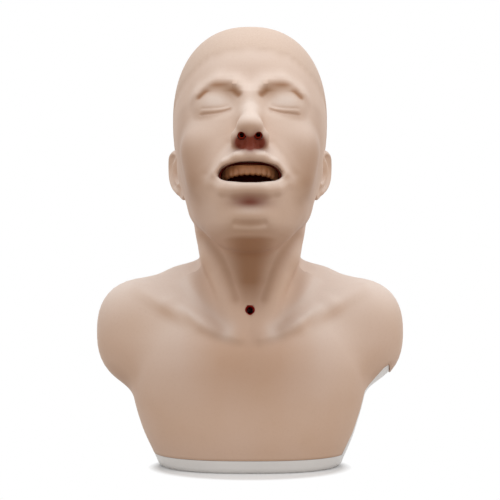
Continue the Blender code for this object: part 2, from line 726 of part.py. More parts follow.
def build_mouth():
    """Liner, teeth and tongue."""
    liner = head_ball("mouth_liner", MOUTH_CENTRE, MOUTH_SIZE, MOUTH_SQUARE, PARTS)
    neck = from_head(MOUTH_CENTRE)
    join(liner, rod("liner_neck", neck, mouth_neck_end(0), THROAT_NECK_R, CUTTERS))
    inside = [s - LINER_WALL for s in MOUTH_SIZE]
    cut(liner, head_ball("liner_room", MOUTH_CENTRE, inside, MOUTH_SQUARE, CUTTERS))
    cut(liner, rod("liner_bore", neck, mouth_neck_end(5), THROAT_NECK_R - LINER_WALL, CUTTERS))
    face = from_head((0, LINER_FRONT, MOUTH_CENTRE[2]))
    ahead = from_head((0, LINER_FRONT - 30, MOUTH_CENTRE[2]))
    cut(liner, rod("liner_front", face, ahead, 60, CUTTERS))
    keep(liner, DARK_RED)
    free = [s - LINER_WALL - GAP for s in MOUTH_SIZE]
    seat = head_ball("mouth_seat", MOUTH_CENTRE, free, MOUTH_SQUARE, CUTTERS)
    upper = arch_band("upper_teeth", UPPER_TEETH, 1.0, PARTS)
    combine(upper, seat, "INTERSECT")
    keep(upper, TOOTH)
    lower = arch_band("lower_teeth", LOWER_TEETH, -0.8, PARTS)
    combine(lower, seat, "INTERSECT")
    keep(lower, TOOTH)
    tongue = head_ball("tongue", TONGUE_CENTRE, TONGUE_SIZE, 2.2, PARTS, 8, 18)
    combine(tongue, seat, "INTERSECT")
    keep(tongue, RED)


def build_airway():
    """Throat, larynx, windpipe, gullet, nasal tubes, fork and lungs."""
    outer = THROAT_PROFILE
    inner = [(max(r - THROAT_WALL, 0.0), z - THROAT_WALL) for r, z in reversed(outer[1:])]
    inner.append((outer[0][0] - THROAT_WALL, THROAT_LOW + THROAT_WALL))
    ends = (0, THROAT_Y, 0)
    throat = lathe("throat", [*reversed(outer), (0.0, THROAT_LOW)], ends, PARTS)
    cut(throat, lathe("throat_room", [*inner, (0.0, THROAT_LOW + THROAT_WALL)], ends, CUTTERS))
    low = THROAT_LOW - 5
    cut(throat, rod("throat_air", (0, AIRWAY_Y, low), (0, AIRWAY_Y, low + 12), TRACHEA_R + GAP, CUTTERS))
    cut(throat, rod("throat_food", (0, GULLET_Y, low), (0, GULLET_Y, low + 12), GULLET_R + GAP, CUTTERS))
    neck = from_head(MOUTH_CENTRE)
    cut(throat, rod("throat_mouth", neck, mouth_neck_end(4), THROAT_NECK_R + GAP, CUTTERS))
    for side, sign in (("right", 1), ("left", -1)):
        path = nasal_path(sign)
        cut(throat, pipe(side + "_throat_nose", path, NASAL_R + GAP, CUTTERS))
        tube = pipe(side + "_nasal_tube", path, NASAL_R, PARTS)
        long_path = [path[0] * 2 - path[1], *path, path[-1] * 2 - path[-2]]
        cut(tube, pipe(side + "_nasal_bore", long_path, NASAL_BORE, CUTTERS))
        keep(tube, DARK_RED)
    keep(throat, CLEAR)

    bore = TRACHEA_R - TRACHEA_WALL
    tube_profile = ((bore, TRACHEA_TOP), (TRACHEA_R, TRACHEA_TOP), (TRACHEA_R, TRACHEA_FOOT), (bore, TRACHEA_FOOT))
    trachea = lathe("trachea_tube", tube_profile, (0, AIRWAY_Y, 0), PARTS)
    start, end = stoma_ends(0.0, 4.0)
    cut(trachea, rod("trachea_window", start, end, STOMA_R, CUTTERS))
    keep(trachea, RED)

    ring_low = THROAT_LOW + THROAT_WALL + GAP
    inside, outside = TRACHEA_R + GAP, TRACHEA_R + 3.0
    ring_profile = ((inside, ring_low + 4), (outside - 1, ring_low + 4), (outside, ring_low + 2),
                    (outside, ring_low), (inside, ring_low))
    larynx = lathe("larynx_ring", ring_profile, (0, AIRWAY_Y, 0), PARTS)
    keep(larynx, RED)
    leaf_low = ring_low + 4 + GAP
    leaf = loft("epiglottis", [
        [(-5, AIRWAY_Y - 12.6, leaf_low), (5, AIRWAY_Y - 12.6, leaf_low),
         (5, AIRWAY_Y - 9.6, leaf_low), (-5, AIRWAY_Y - 9.6, leaf_low)],
        [(-8, AIRWAY_Y - 9.0, leaf_low + 8), (8, AIRWAY_Y - 9.0, leaf_low + 8),
         (8, AIRWAY_Y - 6.8, leaf_low + 8), (-8, AIRWAY_Y - 6.8, leaf_low + 8)],
        [(-4, AIRWAY_Y - 1.0, leaf_low + 15), (4, AIRWAY_Y - 1.0, leaf_low + 15),
         (4, AIRWAY_Y + 0.6, leaf_low + 14), (-4, AIRWAY_Y + 0.6, leaf_low + 14)],
    ], PARTS)
    keep(leaf, RED)

    start, end = stoma_ends(0.0, 0.0)
    ring = rod("stoma_ring", start, end, STOMA_R + STOMA_WALL, PARTS)
    lip = 1.4
    way = (end - start) / np.linalg.norm(end - start)
    cut(ring, rod("stoma_bore", start - way * 5, end + way * 5, STOMA_R, CUTTERS))
    cut(ring, rod("stoma_saddle", (0, AIRWAY_Y, 120), (0, AIRWAY_Y, 200), TRACHEA_R + GAP, CUTTERS))
    flare = rod("stoma_flare", start - way * 0.6, start + way * 2 * lip, STOMA_R + lip, CUTTERS, 16, STOMA_R - lip)
    cut(ring, flare)
    keep(ring, RED)

    gullet = ((0.0, GULLET_FOOT + 2.0), (GULLET_BORE, GULLET_FOOT + 2.0), (GULLET_BORE, GULLET_TOP),
              (GULLET_R, GULLET_TOP), (GULLET_R, GULLET_FOOT), (0.0, GULLET_FOOT))
    food = lathe("oesophagus_tube", gullet, (0, GULLET_Y, 0), PARTS, 16)
    keep(food, LUNG)

    fork = rod("bronchial_fork", (0, AIRWAY_Y, 92), (0, AIRWAY_Y, 116), TRACHEA_R + 3.2, PARTS)
    lung_x, lung_y, lung_z = LUNG_CENTRE
    paths = []
    for sign in (-1, 1):
        paths.append(((-3 * sign, AIRWAY_Y, 98.6), (20 * sign, AIRWAY_Y, 98), (40 * sign, lung_y - 2, 99),
                      (lung_x * sign, lung_y, 91)))
    for sign, path in zip((-1, 1), paths):
        join(fork, pipe("branch_%d" % (sign + 1), path, BRANCH_R - 0.6, CUTTERS))
        tip = (lung_x * sign, lung_y)
        join(fork, rod("branch_tip_%d" % (sign + 1), (*tip, 95), (*tip, 71), BRANCH_R, CUTTERS))
    for sign, path in zip((-1, 1), paths):
        cut(fork, pipe("branch_bore_%d" % (sign + 1), path, BRANCH_BORE - 0.6, CUTTERS))
        tip = (lung_x * sign, lung_y)
        cut(fork, rod("tip_bore_%d" % (sign + 1), (*tip, 93), (*tip, 66), BRANCH_BORE, CUTTERS))
    cut(fork, rod("fork_bore", (0, AIRWAY_Y, 95.7), (0, AIRWAY_Y, 120), bore - 1.0, CUTTERS))
    cut(fork, rod("fork_socket", (0, AIRWAY_Y, TRACHEA_FOOT - GAP), (0, AIRWAY_Y, 120), TRACHEA_R + GAP, CUTTERS))
    keep(fork, CLEAR)

    wide, tall = LUNG_SIZE
    steps = 7
    outer_line, inner_line = [], []
    for i in range(steps + 1):
        climb = -math.pi / 2 + (math.pi * 0.92) * i / steps
        outer_line.append((wide * math.cos(climb), lung_z + tall * math.sin(climb)))
        inner_line.append(((wide - LUNG_WALL) * math.cos(climb), lung_z + (tall - LUNG_WALL) * math.sin(climb)))
    outer_line[0] = (0.0, lung_z - tall)
    inner_line[0] = (0.0, lung_z - tall + LUNG_WALL)
    outer_line[-1] = (LUNG_NECK_R + LUNG_WALL, outer_line[-1][1])
    inner_line[-1] = (LUNG_NECK_R, inner_line[-1][1])
    neck = [(LUNG_NECK_R, LUNG_NECK_TOP), (LUNG_NECK_R + LUNG_WALL, LUNG_NECK_TOP)]
    profile = [*inner_line, *neck, *reversed(outer_line)]
    clip_in = LUNG_NECK_R + LUNG_WALL + GAP
    for side, sign in (("left", -1), ("right", 1)):
        bag = lathe(side + "_lung", profile, (lung_x * sign, lung_y, 0), PARTS, 12)
        keep(bag, LUNG)
        band = ((clip_in, 85.0), (clip_in + 1.6, 85.0), (clip_in + 1.6, 80.5), (clip_in, 80.5))
        clip = lathe(side + "_lung_clip", band, (lung_x * sign, lung_y, 0), PARTS, 12)
        keep(clip, WHITE)


def build_frame():
    """Plate and two shelves that hold windpipe and gullet."""
    face = FRAME_BACK_Y + FRAME_PLATE
    low, high = FRAME_Z
    frame = block("airway_frame", (-FRAME_HALF, FRAME_BACK_Y, low), (FRAME_HALF, face, high), PARTS)
    for i, z in enumerate(SHELF_Z):
        half = SHELF_THICK / 2
        wide = TRACHEA_R + 3.5
        join(frame, block("shelf_%d" % i, (-wide, AIRWAY_Y, z - half), (wide, FRAME_BACK_Y + 1, z + half), CUTTERS))
        join(frame, rod("shelf_end_%d" % i, (0, AIRWAY_Y, z - half), (0, AIRWAY_Y, z + half), wide, CUTTERS))
        mouth = (-wide - 1, AIRWAY_Y - wide - 1, z - half - 1)
        cut(frame, block("shelf_mouth_%d" % i, mouth, (wide + 1, AIRWAY_Y - 6, z + half + 1), CUTTERS))
        for y, radius in ((AIRWAY_Y, TRACHEA_R), (GULLET_Y, GULLET_R)):
            cut(frame, rod("shelf_hole_%d_%d" % (i, radius), (0, y, z - 9), (0, y, z + 9), radius + GAP, CUTTERS))
    for i, (x, z) in enumerate((x, z) for z in POST_Z for x in (-POST_X, POST_X)):
        cut(frame, rod("frame_hole_%d" % i, (x, FRAME_BACK_Y - 3, z), (x, face + 3, z), SCREW_R + GAP, CUTTERS, 12))
    window = block("frame_window", (-22, FRAME_BACK_Y - 3, 134), (22, face + 3, 160), CUTTERS)
    cut(frame, window)
    keep(frame, GREY)


build_skin()
build_shell()
build_mouth()
build_airway()
build_frame()
build_screws()
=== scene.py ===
"""Tracheostomy care trainer: the dressed bust, laid out as a Blender add-on and run as a script."""

import math

import bmesh
import bpy
import numpy as np
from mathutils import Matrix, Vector


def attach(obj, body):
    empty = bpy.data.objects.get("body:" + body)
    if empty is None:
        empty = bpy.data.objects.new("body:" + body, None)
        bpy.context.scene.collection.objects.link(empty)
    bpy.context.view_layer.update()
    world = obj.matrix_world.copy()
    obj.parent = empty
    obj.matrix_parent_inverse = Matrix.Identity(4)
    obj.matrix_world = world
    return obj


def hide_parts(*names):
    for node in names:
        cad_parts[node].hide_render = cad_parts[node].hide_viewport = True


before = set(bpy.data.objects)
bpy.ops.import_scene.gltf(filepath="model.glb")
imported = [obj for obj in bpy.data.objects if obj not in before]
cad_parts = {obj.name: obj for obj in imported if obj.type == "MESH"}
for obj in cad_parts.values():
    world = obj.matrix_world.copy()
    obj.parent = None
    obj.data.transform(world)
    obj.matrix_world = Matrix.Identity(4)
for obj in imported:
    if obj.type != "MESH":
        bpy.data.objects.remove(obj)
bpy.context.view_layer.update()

bl_info = {
    "name": "Tracheostomy Care Trainer",
    "version": (1, 0, 0),
    "blender": (4, 5, 0),
    "location": "3D View > Sidebar > Care Trainer",
    "description": "Builds the soft skin, hard shell, mouth, airway and screws of a "
                   "tracheostomy care trainer",
    "category": "Object",
}

# Shapes are worked out in millimetres: the front looks to -Y and the base stands on z = 0
MM = 0.001
# Points closer than this are one, in metres
MERGE = 0.00001
# Greatest angle between faces that still shade as one: most pieces, the skin, hard pieces
SMOOTH = 42.0
SMOOTH_SKIN = 50.0
SMOOTH_HARD = 35.0
# Steps round a pipe's quarter and along each span of it
PIPE_STEPS = (6, 10)
# Room between neighbouring pieces, a reach that clears the whole bust, and how far cutters reach past
GAP = 0.3
FAR = 240.0
CUT_PAST = 5.0
WAY_PAST = 6.0

# Head carriage: the head's own axes have their origin midway between the ears
HEAD_TILT = math.radians(20.0)
EAR_AXIS = np.array((0.0, -5.0, 302.0))

# Ring grid of the outer form: height on the axis, rise of the ways at the front and at the sides
FORM_AXIS_Y = 8.0
CROWN_START = 376.0
RING_STATIONS = np.array((
    (0, 0, 0), (95, 0, 0), (135, 0, 40), (175, 8, 25), (205, 3, 8), (238, -18, 0), (262, -12, 0),
    (290, -10, 0), (330, -9, 0), (352, -7, 0), (365, -3, 0), (CROWN_START, 0, 0),
), float)
# Rings from station to station, the fan over the crown and the points of a ring, for each form
SKIN_RINGS = (30, 22, 22, 16, 16, 20, 28, 46, 34, 26, 9)
SKIN_FAN = 22
HOLLOW_RINGS = (8, 8, 6, 5, 5, 5, 5, 7, 4, 3, 3)
HOLLOW_FAN = 8
HOLLOW_COLUMNS = 60
SHELL_RINGS = (36, 26, 22, 14, 4)
SHELL_COLUMNS = 200
SHELL_ROOM_COLUMNS = 160
# How far the points of a ring crowd towards the front, below zero towards the back
CROWD_FRONT = 0.66
CROWD_BACK = -0.2

# Walking in to a surface: share of the distance, bounds of a step, nearest reach, when to stop, tries
WALK_SHARE = 0.8
WALK_STEP = (-2.0, 14.0)
WALK_NEAREST = 0.5
WALK_DONE = 0.01
WALK_TRIES = 60
WALK_CLOSE_START = 6.0
WALK_CLOSE_TRIES = 26

# Softness across the middle plane, of the plain form and of the dressed trunk
FOLD_SOFT = 1.0
TRUNK_FOLD_SOFT = 20.0
# Rounding where the neck meets the trunk and where the head meets both
NECK_BLEND = 10.0
HEAD_BLEND = 14.0

# Shell: how far it lies inside the bust's form, and from which height over the rim
SHELL_INSET = 1.5
SHELL_INSET_RISE = 30.0
SHELL_INSET_LEAST = 0.1
# Its seam as seen from the side, and the edge of its flank as seen from the front
SEAM_LOW_Y = 14.0
SEAM_HIGH = (48.0, 207.0)
FLANK_SEAM = ((93.0, 13.0), (103.5, 34.0), (111.8, 58.0), (117.0, 77.0), (137.5, 100.0), (142.5, 103.0))
FLANK_END = 150.0
FLANK_FALL = 25.0

# Blended masses of the head: kind, centre or path, radii, blend width, squareness or path blend
HEAD = (
    # skull and face block
    ("ball", (0, 8, 57), (80, 97, 98), 0, 2.3),
    ("ball", (0, -34, -14), (66, 58, 78), 30, 2.1),
    # jaw branch and body, floor of the mouth
    ("bar", ((53, 2, -6), (45, -2, -46), (17, -64, -80)), (16, 13, 13), 20, 8),
    ("ball", (0, -36, -74), (38, 44, 22), 16, 2.0),
    # mound round the mouth, cheek, chin
    ("ball", (0, -68, -46), (42, 37, 40), 16, 2.0),
    ("ball", (38, -62, -26), (22, 17, 26), 18, 2.0),
    ("ball", (0, -74, -84), (20, 14, 12), 12, 2.0),
    # cheekbone and brow ridge
    ("ball", (43, -64, -2), (20, 16, 16), 20, 2.0),
    ("bar", ((6, -92, 41), (18, -90.5, 49.5), (32, -84, 53.5), (48, -73, 49)), (3.4, 3.6, 3.6, 3), 18, 8),
    # eye socket and the closed eye
    ("dent", (33, -105, 35), (21, 17, 17), 10, 2.0),
    ("ball", (34, -72, 35), (20, 16, 20), 6, 2.0),
    # bridge, tip, wing and column of the nose, lip groove
    ("bar", ((0, -87, 34), (0, -95, 16), (0, -105.5, 2)), (8, 9, 10.5), 12, 4),
    ("ball", (0, -107, -2.5), (13, 11.5, 9.5), 6, 2.0),
    ("ball", (11.5, -100, -11), (7.8, 10, 9.5), 4, 2.0),
    ("bar", ((0, -109, -10), (0, -102, -23)), (5, 5), 5, 2),
    ("ball", (0, -93, -30), (11, 13, 13), 8, 2.0),
    # lips and the furrow under them
    ("bar", ((0, -104, -31.5), (12, -102.5, -32), (23, -96.5, -36.5), (32, -88, -43.5), (38, -80, -50)),
     (5.2, 5.2, 5, 4.4, 3), 5, 3),
    ("bar", ((0, -97, -64.5), (13, -96, -63.5), (25, -91, -59.5), (34, -85, -52)), (6.2, 5.8, 5, 3.5), 5, 4),
    ("dent", (0, -106, -77), (18, 12, 4.5), 8, 2.0),
)

# Openings with rolled edges, in the head's own axes
HEAD_OPENINGS = (
    ("dent", (8.2, -113, -18), (5.0, 8, 5.4), 2.0, 2.0),
)

# Opening between the lips: half width, height of its corners, height and squareness above and below
# them, where it ends inwards and how round
LIP_GAP_HALF = 33.2
LIP_GAP_CORNER = -44.0
LIP_GAP_EDGES = ((7.6, 1.85), (13.2, 2.2))
LIP_GAP_FLOOR = -85.0
LIP_GAP_END = 2.0
# Plane of the lips, how the opening narrows and its roof rises behind it, and how round the lips are
LIP_FACE = -103.0
LIP_LEAN = 0.2
LIP_RISE = 0.42
LIP_ROUND = 4.5
# Straight way cut between the lips: depth, share of the width and of the roof's height at each end
LIP_WAY_ENDS = ((-108.0, 1.0, 1.0), (-84.0, 0.96, 2.6))
LIP_WAY_INSET = 1.2
LIP_WAY_WIDE = 0.955
LIP_WAY_SIDES = 64

# Arcs under the brow and along the lid, across and up
BROW_ARC = ((11, 39), (18, 47), (31, 52), (42, 50), (50, 44))
LID_ARC = ((20, 25), (28, 23), (37, 22.2), (47, 23.4))
# Fine relief of the face: path across and up, height (below zero a groove) and width
HEAD_LINES = (
    # edge and fold of the lid, crescent under the brow
    (((20, 26), (28, 24), (37, 23.2), (47, 24.4)), -1.3, 1.5),
    (((22, 30), (30, 28.5), (40, 28.3), (47, 30)), -0.4, 1.4),
    (BROW_ARC, -1.3, 2.8),
    # crease of the chin, fold beside the nose, edge of the lip groove
    (((0, -93), (9, -92.4), (14, -91)), -1.7, 2.8),
    (((21, -12), (31, -24), (42, -40)), -0.9, 4.5),
    (((3.8, -25), (4.4, -29)), 0.5, 1.8),
)

# Relief of the chest, drawn in the same way
CHEST_LINES = (
    # collar bone, the groove under it and the hollow over it
    (((12, 133), (34, 139), (50, 148), (76, 178), (104, 194)), 1.6, 5.0),
    (((9, 125), (36, 131), (54, 140), (82, 170), (108, 186)), -1.3, 5.6),
    (((22, 146), (38, 156), (56, 172), (74, 190)), -1.1, 7.0),
    # muscle of the neck, the notch between the collar bones and the swell over it
    (((46, 226), (37, 196), (28, 166), (18, 138)), 0.8, 6.5),
    (((0, 126), (0, 136)), -1.4, 7.0),
    (((0, 150), (0, 164)), 1.2, 12.0),
)

# Where the relief starts and how it fades backwards, on the chest and on the face
CHEST_FADE = (10.0, -25.0)
FACE_FADE = (-35.0, -15.0)

# Edge of the hair cap: degrees round the skull from the front, height in the head's axes
HAIR_EDGE = np.array((
    (0, 96), (25, 91), (41, 79), (56, 72), (80, 64), (95, 34), (112, 0), (135, -30), (180, -42),
), float)
HAIR_CENTRE_Y = 8.0
HAIR_SOFT = 5.0
HAIR_RISE = 1.1

# Tones painted on the skin: tints, painted shade and painted light. Spots: centre, spread and strength, in
# the head's axes
TINT_SPOTS = (
    # nostril, underside of the nose, lip groove, dimple under the lip (its red-brown tint is partly painted
    # shade under the lower lip)
    ((8, -110, -17), (6, 12, 6.5), 1.3),
    ((0, -107, -19), (15, 13, 5), 1.3),
    ((0, -104, -26), (6, 12, 5), 1.0),
    ((0, -95, -74), (18, 13, 5), 0.95),
)
SHADE_SPOTS = (
    # hollow of the cheek, lower lip, whole cheek, jaw
    ((48, -62, -32), (14, 30, 24), 0.55),
    ((0, -100, -66), (26, 12, 5), 0.5),
    ((48, -60, 0), (30, 60, 60), 0.2),
    ((46, -40, -70), (18, 30, 20), 0.2),
    # forehead, chin, under the tip of the nose
    ((0, -95, 68), (40, 20, 16), 0.2),
    ((0, -92, -92), (26, 16, 8), 0.4),
    ((0, -114, -9), (13, 12, 6), 0.5),
)
# Painted highlights on the lid and on the bridge of the nose
PAINTED_LIGHT_SPOTS = (((34, -85, 36), (14, 20, 8), 0.6), ((0, -98, 14), (6, 14, 16), 0.5))
# Painted shade on the middle of the chest, read across and up in the row's axes
CHEST_SHADE_SPOTS = (((0, 0, 105), (95, 1, 40), 0.45),)
# Strokes: path across and up, strength and width
# painted shade along the side of the cheek
CHEEK_SHADE_STROKES = ((((68, 42), (69, 20), (67, 0), (63, -25), (58, -45)), 0.25, 8.0),)
# painted shade under the brow and along the lid
EYE_SHADE_STROKES = ((BROW_ARC, 0.95, 3.6), (LID_ARC, 0.4, 2.2))
# painted shade on the side of the neck and beside the throat
NECK_SHADE_STROKES = (
    (((55, 202), (47, 167), (32, 142)), 0.35, 9.0),
    (((49, 238), (27, 212), (14, 172)), 0.45, 6.0),
)
# painted light in the hollow over the collar bone, which looks up
COLLAR_LIGHT_STROKES = ((((100, 198), (80, 190), (56, 164), (24, 140)), 1.0, 9.0),)
# Fades, start and width, below zero the other way: strokes backwards, inside of the lips
CHEEK_FADE = (-5.0, -15.0)
EYE_FADE = (-50.0, -15.0)
LIP_TINT = 0.9
LIP_TINT_DEEP = 2.0
LIP_TINT_BACK = -60.0
LIP_TINT_FADE = (-104.0, 8.0)
# Painted shade on the throat, where the chin shadows it: half width by height, how square, its lower and
# upper end, and where it lies behind the chin
THROAT_WIDTH = ((160, 180, 205, 230, 252), (10, 13, 20, 28, 31))
THROAT_SQUARE = 3
THROAT_LOW = (158.0, 30.0)
THROAT_HIGH = (237.0, -7.0)
THROAT_BEHIND = (-80.0, 12.0)
# Faces that look down get painted shade up to a limit, those that look up get painted light beside and above
# the throat
DOWN_FADE = (-0.35, -0.3)
DOWN_SHADE = 0.4
PAINTED_LIGHT_UP = (-0.1, 1 / 1.1)
PAINTED_LIGHT_BESIDE = (30.0, 40.0)
PAINTED_LIGHT_ABOVE = 240.0

# Chest sections: height, half width, front, back
CHEST = np.array((
    (-30, 84, -66, 76), (0, 94, -74, 82), (14, 100, -78, 86), (34, 110, -82, 90), (58, 118, -83, 93),
    (80, 123, -82, 95), (105, 125, -77, 96), (130, 122, -66, 95), (155, 112, -48, 91), (180, 98, -28, 84),
    (205, 62, -10, 74), (225, 20, 0, 50),
), float)
CHEST_READINGS = 256
CHEST_SMOOTH = 21
CHEST_SQUARE = 2.5
CHEST_SLOPE = 0.9
CHEST_TOP = 204.0
CHEST_TOP_ROUND = 10.0

# Arm stump, shoulder slope and collar bone
TORSO = (
    ("ball", (112, 12, 136), (48, 46, 54), 18, 2.4),
    ("bar", ((40, 36, 200), (74, 28, 184), (112, 16, 166)), (16, 18, 20), 14, 10),
    ("bar", ((14, -54, 128), (48, -50, 143), (84, -30, 165), (112, -12, 178)), (7, 6, 6, 8), 10, 6),
)

# Neck, the muscle from behind the ear to the breastbone, voice box
NECK = (
    ("bar", ((0, 12, 150), (0, 14, 240), (0, 30, 300)), (49, 51, 52), 0, 20),
    ("bar", ((50, 18, 282), (36, -20, 212), (12, -50, 138)), (13, 12, 8), 12, 10),
    ("ball", (0, -30, 214), (13, 12, 20), 12, 2.0),
)

# Ear outline as angle from the front, upwards, and reach from the ear's centre
EAR_CENTRE = (12.0, 3.5)
EAR_LEAN = math.radians(12.0)
EAR_OUTLINE = np.array((
    (0, 13), (30, 17), (60, 24), (90, 29), (120, 29), (150, 25), (180, 21),
    (210, 20), (240, 24), (270, 34), (300, 31), (330, 18),
), float)
EAR_SPOKES = 84
EAR_RINGS = 30
EAR_WAVES = 9
# Where the ear springs from, how it stands off backwards and towards its top, and how far at most
EAR_ROOT_X = 69.0
EAR_STAND = 0.5
EAR_FLARE = 0.024
EAR_REACH = 15.5
EAR_REACH_ROUND = 8.0
# Rings: shares of the outline on the carved face, then share and drop round the rim, then share and
# place across behind it
EAR_FACE = (0.04, 0.95)
EAR_RIM = ((0.98, 0.6), (1.0, 1.6), (1.0, 3.0), (0.97, 4.2))
EAR_BEHIND = ((0.84, 67.0), (0.5, 60.0))

# Relief of the ear: path backwards and upwards from its centre, height and width
EAR_LINES = (
    (((-5, 0), (-11, 8), (-9, 19), (1, 26), (12, 22), (18.5, 10), (17.5, -6), (11, -17)), 2.4, 2.6),
    (((-2, 20), (8, 17), (13, 8), (12, -6)), -1.4, 2.2),
    (((-6, 14), (3, 11), (8, 3), (6, -8), (0, -14)), 2.2, 3.0),
    (((-12, -2), (-12, -6)), 3.4, 3.6),
    (((-4, -15), (0, -16)), 1.4, 3.4),
)
# Bowl of the ear: centre, width and depth
EAR_BOWL = ((-2.0, -3.0), 8.0, 8.0)

# Mouth, in the head's own axes
MOUTH_CENTRE = (0.0, -68.0, -47.0)
MOUTH_SIZE = (33.0, 28.0, 20.0)
MOUTH_SQUARE = 3.0
# Solid stock round the mouth and the nose, which the skin's hollow leaves
MOUTH_STOCK = 8.0
MOUTH_STOCK_SQUARE = 2.4
NOSE_STOCK = ((0, -92, -10), (24, 30, 28), 2.0)
STOCK_BLEND = 12.0
HOLLOW_BLEND = 4.0
# Lining: wall, how far behind the front of the mouth it starts, what cuts it off there, its round neck
LINER_WALL = 2.0
LINER_FRONT = 4.0
LINER_CUT_LONG = 30.0
LINER_CUT_R = 60.0
THROAT_NECK_R = 10.5
THROAT_NECK_END = -14.0
# Arches of teeth: piece, node, height of root and biting edge, way that the edge looks
TEETH_ARCHES = (
    ("upper_arch", "upper_teeth", -28.0, -42.0, 1.0),
    ("lower_arch", "lower_teeth", -66.0, -57.0, -1.0),
)
TEETH_ARCH_Y = -65.0
TEETH_ARCH_START = 0.03
TOOTH_SECTIONS = 10
TOOTH_THICK = 5.0
# How flat each tooth is, how it swells towards its edge, and how its edge and shoulders are shaped
TOOTH_FLAT = 0.6
TOOTH_SWELL = 0.35
TOOTH_SWELL_OUT = 0.3
TOOTH_SCALLOP = 1.3
TOOTH_SHOULDER = 1.2
TOOTH_EDGE = 0.3
TOOTH_BELLY = 0.45
# Tongue: centre, size, squareness, rows and columns, then depth, width and lower end of its furrow
TONGUE = ((0.0, -62.0, -66.0), (17.5, 21.0, 13.0), 2.2, 36, 60)
TONGUE_FURROW = (1.6, 2.2, -64.0)

# Airway
AIRWAY_Y = -20.0
TRACHEA_R = 10.5
NASAL_R = 4.0
NOSTRIL = (8.4, -120.0, -27.0)
NASAL_PATH = (
    (7.9, -105.5, -9.5), (7.5, -96.0, -5.5), (7.0, -80.0, -5.0), (7.0, -50.0, -9.0), (7.0, -24.0, -20.0),
    (7.0, -8.0, -35.0),
)
STOMA_Z = 160.0
STOMA_R = 4.6
STOMA_WALL = 2.4
STOMA_FRONT = -43.4
STOMA_DEPTH = 14.0
STOMA_RISE = math.radians(8.0)
STOMA_SIDES = 72
# Dent of the skin round the opening: reach, radius and rounding
STOMA_DENT_REACH = 20.0
STOMA_DENT_R = STOMA_R - 0.2
STOMA_DENT_ROUND = 2.5
# Collar: bevel of its front, then distance inwards and radius of its bore, and the saddle on the windpipe
STOMA_BEVEL = 0.8
STOMA_BORE = (
    (-1.0, 5.9), (0.0, 5.4), (0.5, 4.6), (1.2, 3.9), (2.2, 3.4), (3.4, 3.3), (5.0, 3.6), (7.0, 4.3),
    (8.5, STOMA_R),
)
SADDLE_Z = (120.0, 200.0)
SADDLE_SIDES = 96
# Thickness of the skin over the collar, and how far its edge stands off the bore
STOMA_LIP = 1.4
STOMA_LIP_GAP = 0.4

# Posts and screws at the back
FRAME_FACE_Y = 60.6
POST_X = 32.0
POST_Z = (76.0, 172.0)
POST_R = 7.0
# How deep posts end in the back, how deep the screws' seats lie in it and how far their wells reach out
POST_SINK = 1.0
SEAT_SINK = 1.0
WELL_PAST = 9.0
SCREW_SIDES = 48
SHANK_SIDES = 32
SHANK_PAST = 3.0
RECESS_REACH = 1.25

# Skin's finish. Patches and specks: scale, start and contrast, then how strongly the layers show, painted
# light among them
SKIN_PATCHES = (18.0, 0.35, 2.2)
SKIN_SPECKS = (420.0, 0.5, 2.0)
PAINTED_LIGHT_SHARE = 0.8
SPECK_SHARE = 0.12
HAIR_SHARE = 0.35
HAIR_MOTTLE = (600.0, 0.5)
# Roughness: base, scale and share of its mottling, share of the hair
SKIN_ROUGH = (0.46, 60.0, 0.14, 0.06)
# Fine height, as scale and share: noise, grain and noise of the hair, then strength and depth of it all
SKIN_HEIGHTS = ((900.0, 0.5), (1400.0, 0.25), (700.0, 1.4))
SKIN_BUMP = (0.12, 0.0006)

# Every moulded finish: start and contrast of its patches, then how much finer and how strong the mottling
# of its roughness and its grain are, and how deep
MOULDED_PATCHES = (0.3, 1.8)
MOULDED_ROUGH = (3.0, 0.12)
MOULDED_GRAIN = (1.6, 0.4)
MOULDED_DEEP = 0.0005
# Moulded finishes: two tones, roughness, scale of their patches, scale and strength of the grain, fixed
MOULDED = {
    "white_moulded_plastic": ("F2EFEC", "E9E6E3", 0.34, 14.0, 1500.0, 0.05, {"Specular IOR Level": 0.5}),
    "dark_red_lining": ("7A2414", "57140A", 0.5, 40.0, 900.0, 0.25, {"Specular IOR Level": 0.2}),
    "flesh_brown_teeth": ("CE9163", "AE7248", 0.34, 90.0, 1100.0, 0.15, {"Coat Weight": 0.15}),
    "red_tongue": ("6E1A12", "58110C", 0.32, 60.0, 700.0, 0.3, {"Coat Weight": 0.3}),
    "glossy_red_airway": ("B01C18", "8C1010", 0.2, 70.0, 900.0, 0.12, {"Coat Weight": 0.6}),
    "clear_grey_plastic": ("C9CFD0", "B9C1C4", 0.18, 20.0, 1200.0, 0.05, {}),
    "pink_rubber": ("C98F85", "B77A70", 0.5, 30.0, 900.0, 0.2, {}),
    "white_clip_plastic": ("D8D5D2", "CBC8C5", 0.35, 30.0, 1300.0, 0.05, {}),
    "dark_red_tube": ("C23A1E", "9A2412", 0.7, 50.0, 900.0, 0.15, {"Specular IOR Level": 0.1}),
    "grey_moulded_plastic": ("6C6F72", "5F6265", 0.42, 25.0, 1300.0, 0.08, {}),
    "bright_steel": ("B9BBBD", "9FA2A5", 0.22, 300.0, 2500.0, 0.1, {"Metallic": 1.0}),
}
# Solids that keep their own form, by the finish that they are given
DRESSED_SOLIDS = {
    "glossy_red_airway": ("trachea_tube", "larynx_ring", "epiglottis"),
    "clear_grey_plastic": ("throat", "bronchial_fork"),
    "pink_rubber": ("oesophagus_tube", "left_lung", "right_lung"),
    "white_clip_plastic": ("left_lung_clip", "right_lung_clip"),
    "dark_red_tube": ("left_nasal_tube", "right_nasal_tube"),
    "grey_moulded_plastic": ("airway_frame",),
}

